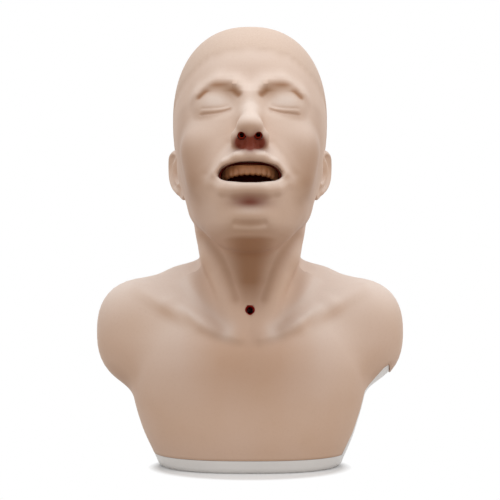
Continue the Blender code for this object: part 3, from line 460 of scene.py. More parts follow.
# Stage, in metres: lamps and what they look at, camera, floor and the oval of the contact shadow
LAMP_SIZE = 1.3
LAMP_AIM = (0.0, 0.0, 0.2)
TOP_LAMP = (0.0, -0.3, 1.4)
SIDE_LAMP = (1.4, -0.4, 1.2)
SENSOR_WIDTH = 36.0
PICTURE_RISE = 20.2 / 500.0
FLOOR_HALF = 4.0
SHADOW_SHIFT = (0.0, 0.35, 0.0)
SHADOW_SCALE = (10.6, 12.8, 0.0)
SHADOW_EDGE = 0.98
SHADOW_FADE = 0.12
FLOOR_GLOW = 0.02
WHITE = (1.0, 1.0, 1.0, 1.0)
FLOOR_TONES = ((0.8, 0.8, 0.8, 1.0), (0.76, 0.76, 0.76, 1.0))
FLOOR_MOTTLE = (3.0, 0.1)
FLOOR_BOUNCE = (0.62, 0.6, 0.58, 1.0)


# Fields: every form is a signed distance in millimetres

def blend(a, b, width):
    """The nearer of two distances, rounded where they meet."""
    if width <= 0:
        return np.minimum(a, b)
    share = np.clip(0.5 + 0.5 * (b - a) / width, 0, 1)
    return b + (a - b) * share - width * share * (1 - share)


def ramp(value, start, width):
    """0 before the start, 1 once past the width."""
    return np.clip((value - start) / width, 0, 1)


def ball(p, centre, radii, square):
    """Distance to an ellipsoid, or to a squarer one."""
    radii = np.array(radii, float)
    q = np.abs(p - np.array(centre, float)) / radii
    size = np.maximum((q ** square).sum(-1), 1e-12) ** (1 / square)
    slope = np.linalg.norm(q ** (square - 1) / radii, axis=-1) * size ** (1 - square)
    return (size - 1) / np.maximum(slope, 1e-9)


def bar(p, path, radii, width):
    """Distance to a round bar along a path."""
    total = None
    for start, end, r0, r1 in zip(path, path[1:], radii, radii[1:]):
        start, span = np.array(start, float), np.subtract(end, start)
        t = np.clip((p - start) @ span / (span @ span), 0, 1)
        d = np.linalg.norm(p - start - t[..., None] * span, axis=-1) - (r0 + (r1 - r0) * t)
        total = d if total is None else blend(total, d, width)
    return total


def masses(p, rows, total=None):
    """Blend the rows of a table in order."""
    for kind, where, size, width, shape in rows:
        d = bar(p, where, size, shape) if kind == "bar" else ball(p, where, size, shape)
        if total is None:
            total = d
        elif kind == "dent":
            total = -blend(-total, d, width)
        else:
            total = blend(total, d, width)
    return total


def rounded(path):
    """A path with its corners cut off twice."""
    path = np.array(path, float)
    for _ in range(2):
        first, second = path[:-1] * 0.75 + path[1:] * 0.25, path[:-1] * 0.25 + path[1:] * 0.75
        middle = np.stack((first, second), 1).reshape(-1, 2)
        path = np.vstack((path[:1], middle, path[-1:]))
    return path


def relief(flat, lines):
    """Height of fine ridges and grooves drawn on a plane."""
    total = np.zeros(flat.shape[:-1])
    for path, height, width in lines:
        path = rounded(path)
        away = bar(flat, path, [0.0] * len(path), 0.0)
        total = total + height * np.exp(-(away / width) ** 2)
    return total


def to_head(p):
    """Row axes to the head's own axes."""
    q = p - EAR_AXIS
    c, s = math.cos(HEAD_TILT), math.sin(HEAD_TILT)
    return np.stack((q[..., 0], q[..., 1] * c - q[..., 2] * s, q[..., 1] * s + q[..., 2] * c), -1)


def from_head(q):
    """The head's own axes to row axes."""
    q = np.asarray(q, float)
    c, s = math.cos(HEAD_TILT), math.sin(HEAD_TILT)
    return np.stack((q[..., 0], q[..., 1] * c + q[..., 2] * s, q[..., 2] * c - q[..., 1] * s), -1) + EAR_AXIS


def fold(p, soft=FOLD_SOFT):
    """Both sides of the body share one half."""
    q = p.copy()
    q[..., 0] = np.sqrt(q[..., 0] ** 2 + soft)
    return q


def chest(p):
    """The trunk as rounded sections between the named heights."""
    height = np.linspace(CHEST[0, 0], CHEST[-1, 0], CHEST_READINGS)
    read = []
    for column in CHEST.T[1:]:
        value = np.pad(np.interp(height, CHEST[:, 0], column), CHEST_SMOOTH // 2, mode="edge")
        value = np.convolve(value, np.ones(CHEST_SMOOTH) / CHEST_SMOOTH, mode="valid")
        read.append(np.interp(p[..., 2], height, value))
    half, front, back = read
    depth = (back - front) / 2
    across = (np.abs(p[..., 0]) / half) ** CHEST_SQUARE
    along = (np.abs(p[..., 1] - (front + back) / 2) / depth) ** CHEST_SQUARE
    d = ((across + along) ** (1 / CHEST_SQUARE) - 1) * np.minimum(half, depth) * CHEST_SLOPE
    return -blend(-d, CHEST_TOP - p[..., 2], CHEST_TOP_ROUND)


def trunk(q):
    """Chest, shoulders, arm stumps and neck, from folded points."""
    return blend(masses(q, TORSO, chest(q)), masses(q, NECK), NECK_BLEND)


def bust(p):
    """Plain outer form of the whole bust."""
    return blend(masses(fold(to_head(p)), HEAD), trunk(fold(p)), HEAD_BLEND)


def lip_gap(h):
    """The opening between the lips, drawn in at the corners and narrower inwards."""
    flat = h[..., (0, 2)] - (0.0, LIP_GAP_CORNER)
    behind = h[..., 1] - LIP_FACE
    taller = 1 + LIP_RISE * np.maximum(behind, 0) / LIP_GAP_EDGES[0][0]
    flat[..., 1] = np.where(flat[..., 1] > 0, flat[..., 1] / taller, flat[..., 1])
    rise, fall = [ball(flat, (0.0, 0.0), (LIP_GAP_HALF, height), square) for height, square in LIP_GAP_EDGES]
    flat = np.where(flat[..., 1] > 0, rise, fall) + LIP_LEAN * behind
    return -blend(-flat, LIP_GAP_FLOOR - h[..., 1], LIP_GAP_END)


def lip_way():
    """Straight way between the lips, a little inside their rolled edges."""
    rings = []
    for y, grow, lift in LIP_WAY_ENDS:
        ring = []
        for t in np.linspace(0, 2 * math.pi, LIP_WAY_SIDES, endpoint=False):
            height, square = LIP_GAP_EDGES[0 if math.sin(t) > 0 else 1]
            x = LIP_GAP_HALF * math.copysign(abs(math.cos(t)) ** (2 / square), math.cos(t))
            z = math.copysign(abs(math.sin(t)) ** (2 / square), math.sin(t)) * (height - LIP_WAY_INSET)
            ring.append((x * LIP_WAY_WIDE * grow, y, LIP_GAP_CORNER + (z * lift if z > 0 else z)))
        rings.append(from_head(ring))
    return loft("lip_way", rings)


def hair_share(h):
    """1 inside the hair cap, 0 on bare skin, from points in the head's axes."""
    turn = np.degrees(np.arctan2(np.abs(h[..., 0]), HAIR_CENTRE_Y - h[..., 1]))
    edge = np.interp(turn, HAIR_EDGE[:, 0], HAIR_EDGE[:, 1])
    share = ramp(h[..., 2] - edge, -HAIR_SOFT / 2, HAIR_SOFT)
    return share * share * (3 - 2 * share)


def dressed_bust(p):
    """The outer form with rolled openings, lid lines, brows, collar bones and the hair's edge."""
    q = fold(p, TRUNK_FOLD_SOFT)
    body = trunk(q) - relief(q[..., (0, 2)], CHEST_LINES) * ramp(q[..., 1], *CHEST_FADE)
    dent = bar(p, stoma_ends(STOMA_DENT_REACH, 0.0), (STOMA_DENT_R, STOMA_DENT_R), 0)
    body = -blend(-body, dent, STOMA_DENT_ROUND)
    h = fold(to_head(p))
    head = -blend(-masses(h, HEAD), lip_gap(h), LIP_ROUND)
    head = masses(h, HEAD_OPENINGS, head)
    lines = relief(h[..., (0, 2)], HEAD_LINES) * ramp(h[..., 1], *FACE_FADE)
    return blend(head - lines - HAIR_RISE * hair_share(h), body, HEAD_BLEND)


def hollow_bust(p, wall):
    """The room inside the skin, which leaves solid stock round mouth and nose."""
    q = to_head(p)
    stock = ball(q, MOUTH_CENTRE, [s + MOUTH_STOCK for s in MOUTH_SIZE], MOUTH_STOCK_SQUARE)
    stock = blend(stock, ball(q, *NOSE_STOCK), STOCK_BLEND)
    return -blend(-(bust(p) + wall), stock, HOLLOW_BLEND)


def grid(counts, columns, fan, floor, crowd):
    """Starting points and ways of the rings, up the trunk and head and then a fan to the crown."""
    t = np.linspace(-1, 1, columns, endpoint=False)
    turn = math.pi * (t - crowd * np.sin(math.pi * t) / math.pi)
    side, front = np.sin(turn), -np.cos(turn)
    ahead = np.maximum(np.cos(turn), 0) ** 2
    zero = np.zeros(columns)
    starts, ways = [], []

    def add(height, rise):
        starts.append(np.stack((zero, zero + FORM_AXIS_Y, zero + height), -1))
        ways.append(np.stack((side * np.cos(rise), front * np.cos(rise), np.sin(rise)), -1))

    for low, high, count in zip(RING_STATIONS, RING_STATIONS[1:], counts):
        for share in np.linspace(0, 1, count, endpoint=False):
            height, rise_front, rise_side = low + (high - low) * share
            add(max(height, floor), np.radians(rise_front * ahead + rise_side * side ** 2))
    for rise in np.linspace(0, math.pi / 2, fan, endpoint=False):
        add(CROWN_START, zero + rise)
    return np.array(starts), np.array(ways)


def walk_in(field, starts, ways, plain=None):
    """Come in along each way until the surface is met, first by the plain field where one is given."""
    reach, tries = np.full(starts.shape[:-1], FAR), WALK_TRIES
    if plain:
        reach = np.linalg.norm(walk_in(plain, starts, ways) - starts, axis=-1) + WALK_CLOSE_START
        tries = WALK_CLOSE_TRIES
    for _ in range(tries):
        step = np.clip(field(starts + ways * reach[..., None]) * WALK_SHARE, *WALK_STEP)
        reach = np.maximum(reach - step, WALK_NEAREST)
        if np.abs(step).max() < WALK_DONE:
            break
    return starts + ways * reach[..., None]


def spots(q, rows):
    """Soft spots of a tone, from a table of centres, spreads and strengths."""
    total = 0.0
    for centre, spread, strength in rows:
        total = total + strength * np.exp(-(((q - np.array(centre, float)) / spread) ** 2).sum(-1))
    return total


# Meshes

def placed(name, data):
    """A new object in the scene."""
    item = bpy.data.objects.new(name, data)
    bpy.context.scene.collection.objects.link(item)
    return item


def drop(item):
    """Take a helper away again."""
    bpy.data.objects.remove(item, do_unlink=True)


def turn_outwards(data, merge=0.0):
    """Turn a mesh's faces outwards, after points that lie together are merged where asked."""
    shape = bmesh.new()
    shape.from_mesh(data)
    if merge:
        bmesh.ops.remove_doubles(shape, verts=shape.verts, dist=merge)
    bmesh.ops.recalc_face_normals(shape, faces=shape.faces)
    shape.to_mesh(data)
    shape.free()


def add_mesh(name, points, faces):
    """A mesh object from points in millimetres, its faces turned outwards."""
    data = bpy.data.meshes.new(name)
    data.from_pydata((np.asarray(points, float) * MM).tolist(), [], faces)
    turn_outwards(data)
    return placed(name, data)


def loft(name, rings, poles=(None, None)):
    """Close a stack of rings, with a point or a flat cap at each end."""
    rings = np.asarray(rings, float)
    rows, count = rings.shape[:2]
    points = list(rings.reshape(-1, 3))
    faces = []
    for row in range(rows - 1):
        for col in range(count):
            a = row * count + col
            b = row * count + (col + 1) % count
            faces.append((a, b, b + count, a + count))
    for end, pole in enumerate(poles):
        loop = [(rows - 1) * count * end + i for i in range(count)]
        if pole is None:
            faces.append(tuple(loop if end else reversed(loop)))
        else:
            points.append(np.asarray(pole, float))
            tip = len(points) - 1
            for i in range(count):
                pair = (loop[i], loop[(i + 1) % count])
                faces.append((*pair, tip) if end else (pair[1], pair[0], tip))
    return add_mesh(name, points, faces)


def form(name, field, counts, columns, fan, crowd=CROWD_FRONT, floor=0.0, plain=None):
    """Loft a field on the ring grid."""
    rings = walk_in(field, *grid(counts, columns, fan, floor, crowd), plain)
    pole = None
    if fan:
        top = np.array([[(0.0, FORM_AXIS_Y, CROWN_START)]])
        pole = walk_in(field, top, np.array([[(0.0, 0.0, 1.0)]]))[0, 0]
    return loft(name, rings, (None, pole))


def turned(name, profile, start, way, sides=48):
    """A round solid along any axis, from distances along it and radii, closed at both ends."""
    start, way = np.asarray(start, float), np.asarray(way, float)
    way = way / np.linalg.norm(way)
    across = np.cross(way, (1.0, 0.0, 0.0) if abs(way[0]) < 0.8 else (0.0, 1.0, 0.0))
    across = across / np.linalg.norm(across)
    beside = np.cross(way, across)
    angles = np.linspace(0, 2 * math.pi, sides, endpoint=False)
    circle = np.cos(angles)[:, None] * across + np.sin(angles)[:, None] * beside
    return loft(name, [start + way * along + circle * radius for along, radius in profile])


def rod(name, start, end, radius, sides=48):
    """A straight round bar between two points."""
    length = float(np.linalg.norm(np.subtract(end, start)))
    return turned(name, ((0.0, radius), (length, radius)), start, np.subtract(end, start), sides)


def pipe(name, path, radius):
    """A round bar along a smooth path."""
    curve = bpy.data.curves.new(name, "CURVE")
    curve.dimensions = "3D"
    curve.bevel_depth = radius * MM
    curve.bevel_resolution, curve.resolution_u = PIPE_STEPS
    curve.use_fill_caps = True
    line = curve.splines.new("BEZIER")
    line.bezier_points.add(len(path) - 1)
    for knot, place in zip(line.bezier_points, path):
        knot.co = [v * MM for v in place]
        knot.handle_left_type = "AUTO"
        knot.handle_right_type = "AUTO"
    return baked(placed(name + "_path", curve), name, MERGE)


def baked(holder, name, merge=0.0):
    """A plain mesh object in place of a curve or of an object with modifiers."""
    graph = bpy.context.evaluated_depsgraph_get()
    data = bpy.data.meshes.new_from_object(holder.evaluated_get(graph))
    data.name = name
    drop(holder)
    if merge:
        turn_outwards(data, merge)
    return placed(name, data)


def carve(item, operation, *others):
    """Boolean steps with closed helpers, applied at once."""
    name = item.name
    for other in others:
        step = item.modifiers.new(operation.lower(), "BOOLEAN")
        step.operation = operation
        step.solver = "MANIFOLD"
        step.object = other
    bpy.context.view_layer.update()
    made = baked(item, name + "_next")
    for other in others:
        drop(other)
    made.name = name
    made.data.name = name
    return made


def cut(item, *others):
    """Take the helpers' shapes out of a piece."""
    return carve(item, "DIFFERENCE", *others)


def settle(item, finish, nodes, smooth=SMOOTH):
    """Give a finished piece its finish, shading and place in the frame."""
    item.data.materials.clear()
    item.data.materials.append(finish)
    item.data.polygons.foreach_set("use_smooth", [True] * len(item.data.polygons))
    item.data.set_sharp_from_angle(angle=math.radians(smooth))
    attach(item, "root")
    if nodes:
        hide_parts(*nodes)
    return item


def paint(item, name, values):
    """Keep one number for each point of a piece, which its finish reads."""
    layer = item.data.attributes.new(name, "FLOAT", "POINT")
    layer.data.foreach_set("value", np.asarray(values, np.float32))


def vectors_of(item, key):
    """One vector for each point of a piece: its place or its normal."""
    flat = np.empty(len(item.data.vertices) * 3, np.float32)
    item.data.vertices.foreach_get(key, flat)
    return flat.reshape(-1, 3).astype(float)


def points_of(item):
    """A piece's points in millimetres."""
    return vectors_of(item, "co") / MM


# Helpers shaped for this bust

def head_ball(name, centre, size, square, rows=40, columns=80):
    """An ellipsoid in the head's own axes, squarer where asked."""
    climb = np.linspace(-math.pi / 2, math.pi / 2, rows + 1)[1:-1, None]
    turn = np.linspace(0, 2 * math.pi, columns, endpoint=False)[None]
    way = np.stack((np.cos(climb) * np.cos(turn), np.cos(climb) * np.sin(turn), np.sin(climb) + 0 * turn), -1)
    way = way / (np.abs(way) ** square).sum(-1, keepdims=True) ** (1 / square)
    rings = from_head(np.array(centre) + way * np.array(size))
    ends = [from_head(np.array(centre) + (0, 0, sign * size[2])) for sign in (-1, 1)]
    return loft(name, rings, ends)


def seam_cutter(name, rim, gap):
    """All that belongs to the hard shell: the rim at the floor, the back and one flank's edge."""
    lean = (SEAM_HIGH[0] - SEAM_LOW_Y) / (SEAM_HIGH[1] - rim)
    low = rim + gap
    outline = (
        (-FAR, -FAR), (-FAR, low), (SEAM_LOW_Y - gap + lean * gap, low),
        (SEAM_HIGH[0] - gap + lean * gap, SEAM_HIGH[1] + gap), (FAR, SEAM_HIGH[1] + gap), (FAR, -FAR),
    )
    seam = loft(name, [[(x, y, z) for y, z in outline] for x in (-FAR, FAR)])
    edge = [(x - gap, z + gap) for x, z in FLANK_SEAM]
    last = FLANK_SEAM[-1]
    edge += [(last[0] + gap, last[1] + gap), (FLANK_END + gap, last[1] - FLANK_FALL)]
    flank = ((edge[0][0], -FAR / 2), *edge, (edge[-1][0], -FAR / 2))
    side = loft(name + "_flank", [[(x, y, z) for x, z in flank] for y in (-FAR / 2, FAR / 2)])
    return carve(seam, "UNION", side)


def stoma_ends(front, back):
    """Ends of the throat opening's own axis, front one first."""
    way = np.array((0.0, math.cos(STOMA_RISE), -math.sin(STOMA_RISE)))
    middle = np.array((0.0, STOMA_FRONT, STOMA_Z))
    return middle - way * front, middle + way * (STOMA_DEPTH + back)


def mouth_neck_end(extra):
    """Where the liner's round neck ends inside the throat."""
    return from_head((0.0, THROAT_NECK_END + extra, MOUTH_CENTRE[2]))


def ear(name, side):
    """One ear: its carved face out from the middle, round the rim, then back into the head."""
    angles = np.arange(EAR_SPOKES) * 2 * math.pi / EAR_SPOKES
    outline = np.vstack((EAR_OUTLINE, (360, EAR_OUTLINE[0, 1])))
    reach = np.interp(np.degrees(angles), outline[:, 0], outline[:, 1])
    waves = np.abs(np.fft.fftfreq(EAR_SPOKES, 1 / EAR_SPOKES)) < EAR_WAVES
    reach = np.real(np.fft.ifft(np.fft.fft(reach) * waves))
    c, s = math.cos(EAR_LEAN), math.sin(EAR_LEAN)

    def ring(share, drop, x=None):
        u = -np.cos(angles) * reach * share
        v = np.sin(angles) * reach * share
        y, z = EAR_CENTRE[0] + u * c + v * s, EAR_CENTRE[1] + v * c - u * s
        if x is None:
            flat = np.stack((u, v), -1)
            out = np.maximum(y, 0) * EAR_STAND * (1 + EAR_FLARE * z)
            x = EAR_ROOT_X + blend(out, EAR_REACH + 0 * out, EAR_REACH_ROUND) + relief(flat, EAR_LINES)
            where, wide, deep = EAR_BOWL
            x = x - deep * np.exp(-(np.linalg.norm(flat - where, axis=-1) / wide) ** 4)
        return np.stack(((x - drop + 0 * y) * side, y, z), -1)

    stack = [ring(share, 0.0) for share in np.linspace(*EAR_FACE, EAR_RINGS)]
    stack += [ring(share, drop) for share, drop in EAR_RIM]
    stack += [ring(share, 0.0, x) for share, x in EAR_BEHIND]
    stack = [from_head(r) for r in stack]
    return loft(name, stack, (stack[0].mean(0), None))


def back_wall(x, z):
    """Outer face of the shell's back at one place."""
    start = np.array([[(x, 0.0, z)]], float)
    met = walk_in(lambda p: bust(p) + SHELL_INSET, start, np.array([[(0.0, 1.0, 0.0)]]))
    return float(met[0, 0, 1])


# Finishes

def linear(code):
    """A colour written as a hexadecimal code, in the renderer's own light scale."""
    value = []
    for place in (0, 2, 4):
        part = int(code[place:place + 2], 16) / 255
        value.append(part / 12.92 if part <= 0.04045 else ((part + 0.055) / 1.055) ** 2.4)
    return (*value, 1.0)


class Reading:
    """A socket's value, which takes part in sums as a number does."""

    def __init__(self, made, socket):
        self.made = made
        self.socket = socket

    def sum(self, operation, *terms):
        return self.made.add("ShaderNodeMath", dict(enumerate(terms)), operation=operation)

    def __add__(self, other):
        return self.sum("ADD", self, other)

    def __radd__(self, other):
        return self.sum("ADD", other, self)

    def __sub__(self, other):
        return self.sum("SUBTRACT", self, other)

    def __rsub__(self, other):
        return self.sum("SUBTRACT", other, self)

    def __mul__(self, other):
        return self.sum("MULTIPLY", self, other)

    def __rmul__(self, other):
        return self.sum("MULTIPLY", other, self)

    def __truediv__(self, other):
        return self.sum("DIVIDE", self, other)

    def clipped(self):
        return self.made.add("ShaderNodeClamp", {0: self})


class Tree:
    """A node tree, built node by node."""

    def __init__(self, tree):
        self.tree = tree

    def add(self, kind, values=None, result=0, **settings):
        """Any node, with the numbers or readings of its sockets, the output to read and its settings."""
        node = self.tree.nodes.new(kind)
        for key, value in settings.items():
            setattr(node, key, value)
        for key, value in (values or {}).items():
            self.feed(node.inputs[key], value)
        return Reading(self, node.outputs[result])

    def feed(self, socket, value):
        """Give a socket a plain value, a reading or a list of readings."""
        for item in value if isinstance(value, list) else [value]:
            if isinstance(item, Reading):
                self.tree.links.new(item.socket, socket)
            else:
                socket.default_value = item

    def rays(self):
        """1 for rays that look at the white surroundings: the camera's, mirrored and through clear pieces."""
        total = self.add("ShaderNodeLightPath", result="Is Camera Ray")
        for name in ("Is Glossy Ray", "Is Transmission Ray"):
            total = total.sum("MAXIMUM", total, self.add("ShaderNodeLightPath", result=name))
        return total


class Finish(Tree):
    """One procedural material."""

    def __init__(self, name):
        self.material = bpy.data.materials.new(name)
        self.material.use_nodes = True
        super().__init__(self.material.node_tree)
        self.shader = self.tree.nodes["Principled BSDF"]
        self.place = self.add("ShaderNodeTexCoord", result="Object")

    def mix(self, share, first, second):
        """One colour into another."""
        return self.add("ShaderNodeMix", {0: share, 6: first, 7: second}, 2, data_type="RGBA")

    def noise(self, scale, detail=2.0):
        return self.add("ShaderNodeTexNoise", {"Vector": self.place, "Scale": scale, "Detail": detail})

    def patches(self, scale, start, contrast):
        """Soft patches from 0 to 1."""
        return ((self.noise(scale) - start) * contrast).clipped()

    def grain(self, scale):
        """Distance to the nearest of many scattered points."""
        return self.add("ShaderNodeTexVoronoi", {"Vector": self.place, "Scale": scale})

    def painted(self, name):
        """A number kept on the piece's points."""
        return self.add("ShaderNodeAttribute", result="Fac", attribute_name=name)

    def bump(self, height, strength, depth):
        return self.add("ShaderNodeBump", {"Height": height, "Strength": strength, "Distance": depth})

    def wear(self, fixed, **varied):
        """Feed the shader: fixed numbers by the names of its sockets, then readings."""
        for key, value in fixed.items():
            self.shader.inputs[key].default_value = value
        for key, value in varied.items():
            self.feed(self.shader.inputs[key.replace("_", " ")], value)
        return self.material


def skin_finish(look):
    """Soft vinyl skin: faint mottling, a pinker hair cap, tinted nostrils, painted shade on the throat, face
    and chest, and painted light on faces that look up.
    """
    made = Finish("soft_vinyl_skin")
    colour = made.mix(made.patches(*SKIN_PATCHES), tuple(look.skin_colour), linear(look.skin_warm))
    # painted light on faces that look up, on lid and bridge and over the collar bones
    colour = made.mix(made.painted("pale") * PAINTED_LIGHT_SHARE, colour, linear(look.skin_painted_light))
    colour = made.mix(made.patches(*SKIN_SPECKS) * SPECK_SHARE, colour, linear(look.skin_deep))
    hair = made.painted("hair")
    scale, share = HAIR_MOTTLE
    colour = made.mix(hair * (HAIR_SHARE + made.noise(scale) * share), colour, linear(look.hair_colour))
    # painted shade on the throat, on faces that look down and on face and chest
    colour = made.mix(made.painted("shade"), colour, linear(look.skin_shade))
    colour = made.mix(made.painted("tint"), colour, linear(look.tint_colour))
    base, scale, share, on_hair = SKIN_ROUGH
    rough = base + made.noise(scale) * share + hair * on_hair
    (noise, high), (grain, deep), (hairs, tall) = SKIN_HEIGHTS
    height = made.noise(noise, 3.0) * high + made.grain(grain) * deep + hair * made.noise(hairs) * tall
    return made.wear({"Specular IOR Level": 0.3, "Sheen Weight": 0.06},
                     Base_Color=colour, Roughness=rough, Normal=made.bump(height, *SKIN_BUMP))


def moulded_finish(name):
    """Moulded plastic, rubber or film: slow change of tone, fine grain in the surface."""
    first, second, roughness, scale, fine, strength, fixed = MOULDED[name]
    made = Finish(name)
    colour = made.mix(made.patches(scale, *MOULDED_PATCHES), linear(first), linear(second))
    finer, share = MOULDED_ROUGH
    rough = roughness + made.noise(scale * finer) * share
    finer, share = MOULDED_GRAIN
    height = made.noise(fine, 3.0) + made.grain(fine * finer) * share
    bump = made.bump(height, strength, MOULDED_DEEP)
    return made.wear(fixed, Base_Color=colour, Roughness=rough, Normal=bump)


# What a user would change

class SkinSizes(bpy.types.PropertyGroup):
    """Sizes and colours of the soft skin."""

    wall: bpy.props.FloatProperty(name="Wall", description="Thickness of the soft skin", default=5.0 * MM,
                                  min=0.003, max=0.007, unit="LENGTH")
    columns: bpy.props.IntProperty(name="Columns", description="Points round each ring of the skin",
                                   default=248, min=60, max=300)
    skin_colour: bpy.props.FloatVectorProperty(name="Skin", description="Main colour of the vinyl", size=4,
                                               default=linear("DCBCA6"), min=0.0, max=1.0, subtype="COLOR")
    skin_warm: bpy.props.StringProperty(name="Warm", description="Warmer tone of the patches",
                                        default="D8B59B")
    # colour of the painted light on faces that look up
    skin_painted_light: bpy.props.StringProperty(name="Pale", description="Tone of faces that look up",
                                        default="ECDCD1")
    skin_deep: bpy.props.StringProperty(name="Deep", description="Tone of the fine specks", default="B98A6C")
    skin_shade: bpy.props.StringProperty(name="Shade", description="Brown of the shaded throat",
                                         default="A27656")
    hair_colour: bpy.props.StringProperty(name="Hair", description="Tone of the hair cap", default="CEB29D")
    tint_colour: bpy.props.StringProperty(name="Tint", description="Red brown of nostrils", default="74280A")


class ShellSizes(bpy.types.PropertyGroup):
    """Sizes of the hard shell."""

    rim: bpy.props.FloatProperty(name="Rim", description="Height of the rim under the skin",
                                 default=13.0 * MM, min=0.008, max=0.02, unit="LENGTH")
    wall: bpy.props.FloatProperty(name="Wall", description="Thickness of the shell", default=3.0 * MM,
                                  min=0.002, max=0.004, unit="LENGTH")
    edge: bpy.props.FloatProperty(name="Edge", description="Rounding of the foot", default=2.0 * MM,
                                  min=0.0005, max=0.004, unit="LENGTH")


class MouthSizes(bpy.types.PropertyGroup):
    """Sizes of the mouth's inner pieces."""

    teeth: bpy.props.IntProperty(name="Teeth", description="Teeth in each arch", default=14, min=8, max=16)
    arch_wide: bpy.props.FloatProperty(name="Arch half width", description="Half width of the arches",
                                       default=26.6 * MM, min=0.018, max=0.028, unit="LENGTH")
    arch_deep: bpy.props.FloatProperty(name="Arch depth", description="Depth of the arches",
                                       default=23.0 * MM, min=0.015, max=0.025, unit="LENGTH")


class ScrewSizes(bpy.types.PropertyGroup):
    """Sizes of the four screws at the back."""

    head_radius: bpy.props.FloatProperty(name="Head radius", description="Radius of the head",
                                         default=4.0 * MM, min=0.002, max=0.006, unit="LENGTH")
    head_height: bpy.props.FloatProperty(name="Head height", description="Height of the head",
                                         default=2.4 * MM, min=0.001, max=0.004, unit="LENGTH")
    shank_radius: bpy.props.FloatProperty(name="Shank radius", description="Radius of the shank",
                                          default=1.9 * MM, min=0.001, max=0.003, unit="LENGTH")
    recess: bpy.props.FloatProperty(name="Recess", description="Width of the cross recess", default=0.9 * MM,
                                    min=0.0004, max=0.0014, unit="LENGTH")


class StageSizes(bpy.types.PropertyGroup):
    """Camera and lamps."""

    distance: bpy.props.FloatProperty(name="Distance", description="Camera to object", default=1.3,
                                      min=0.5, max=4.0, unit="LENGTH")
    eye_height: bpy.props.FloatProperty(name="Eye height", description="Height of the camera", default=0.2,
                                        min=0.0, max=1.0, unit="LENGTH")
    lens: bpy.props.FloatProperty(name="Lens", description="Focal length in millimetres", default=90.0,
                                  min=20.0, max=200.0)
    top_light: bpy.props.FloatProperty(name="Top light", description="Strength of the lamp above",
                                       default=7.0, min=0.0, max=100.0, unit="POWER")
    side_light: bpy.props.FloatProperty(name="Side light", description="Strength of the lamp at one side",
                                        default=3.4, min=0.0, max=100.0, unit="POWER")
    room_light: bpy.props.FloatProperty(name="Room light", description="Light from all round", default=0.68,
                                        min=0.0, max=2.0)


# Pieces

class TRAINER_OT_skin(bpy.types.Operator):
    """Soft skin of head, neck, chest and arm stumps in one moulding"""

    bl_idname = "trainer.skin"
    bl_label = "Soft Skin"

    def execute(self, context):
        sizes = context.scene.trainer_skin
        rim = context.scene.trainer_shell.rim / MM
        skin = form("soft_skin", dressed_bust, SKIN_RINGS, sizes.columns, SKIN_FAN, plain=bust)
        skin = carve(skin, "UNION", ear("right_ear_form", 1), ear("left_ear_form", -1))
        wall = sizes.wall / MM
        hollow = form("skin_hollow", lambda p: hollow_bust(p, wall), HOLLOW_RINGS, HOLLOW_COLUMNS, HOLLOW_FAN)
        room = head_ball("mouth_room", MOUTH_CENTRE, [s + GAP for s in MOUTH_SIZE], MOUTH_SQUARE)
        neck = from_head(MOUTH_CENTRE)
        way = rod("mouth_way", neck, mouth_neck_end(WAY_PAST), THROAT_NECK_R + GAP)
        front = rod("stoma_front", *stoma_ends(WAY_PAST, WAY_PAST), STOMA_R + STOMA_LIP_GAP)
        throat = rod("stoma_way", *stoma_ends(-STOMA_LIP, WAY_PAST), STOMA_R + STOMA_WALL + GAP)
        nasal = []
        for sign in (1, -1):
            path = [from_head((x * sign, y, z)) for x, y, z in (NOSTRIL, *NASAL_PATH)]
            nasal.append(pipe("nasal_way", path, NASAL_R + GAP))
        skin = cut(skin, hollow, seam_cutter("skin_seam", rim, GAP))
        skin = cut(skin, room, way, lip_way())
        skin = cut(skin, throat, front, *nasal)
        self.paint_skin(skin)
        settle(skin, skin_finish(sizes), ["bust_skin"], SMOOTH_SKIN)
        return {"FINISHED"}

    def paint_skin(self, skin):
        """Where the vinyl is tinted, where shade and light are painted on it, and where the hair cap lies."""
        p = points_of(skin)
        h = fold(to_head(p))
        up = vectors_of(skin, "normal")[:, 2]
        front, beside = p[:, 1] < 0, np.abs(p[:, 0])
        plan, face = np.stack((beside, p[:, 2]), -1), h[:, (0, 2)]

        lips = np.clip(-lip_gap(h) / LIP_TINT_DEEP, 0, 1) * (h[:, 1] < LIP_TINT_BACK)
        tint = spots(h, TINT_SPOTS) + LIP_TINT * lips * ramp(h[:, 1], *LIP_TINT_FADE)

        # painted shade: the throat under the chin, the neck's side, faces that look down, and spots and
        # strokes on face and chest
        throat = np.exp(-(beside / np.interp(p[:, 2], *THROAT_WIDTH)) ** THROAT_SQUARE)
        throat = throat * ramp(p[:, 2], *THROAT_LOW) * ramp(p[:, 2], *THROAT_HIGH) * front
        throat = throat * np.maximum(ramp(p[:, 1], *THROAT_BEHIND), ramp(up, *DOWN_FADE))
        shade = np.maximum(throat, front * relief(plan, NECK_SHADE_STROKES))
        shade = np.maximum(shade, np.clip(DOWN_FADE[0] - up, 0, DOWN_SHADE))
        shade = shade + spots(h, SHADE_SPOTS) + spots(p * (1, 0, 1), CHEST_SHADE_SPOTS)
        shade = shade + ramp(h[:, 1], *CHEEK_FADE) * relief(face, CHEEK_SHADE_STROKES)
        shade = shade + ramp(h[:, 1], *EYE_FADE) * relief(face, EYE_SHADE_STROKES)

        # painted light on faces that look up, on lid and bridge and over the collar bones
        high = np.minimum(ramp(beside, *PAINTED_LIGHT_BESIDE) + (p[:, 2] > PAINTED_LIGHT_ABOVE), 1)
        pale = ramp(up, *PAINTED_LIGHT_UP) * high + spots(h, PAINTED_LIGHT_SPOTS) + front * relief(plan, COLLAR_LIGHT_STROKES)
        for name, values in (("pale", pale), ("hair", hair_share(h)), ("tint", tint), ("shade", shade)):
            paint(skin, name, np.clip(values, 0, 1))


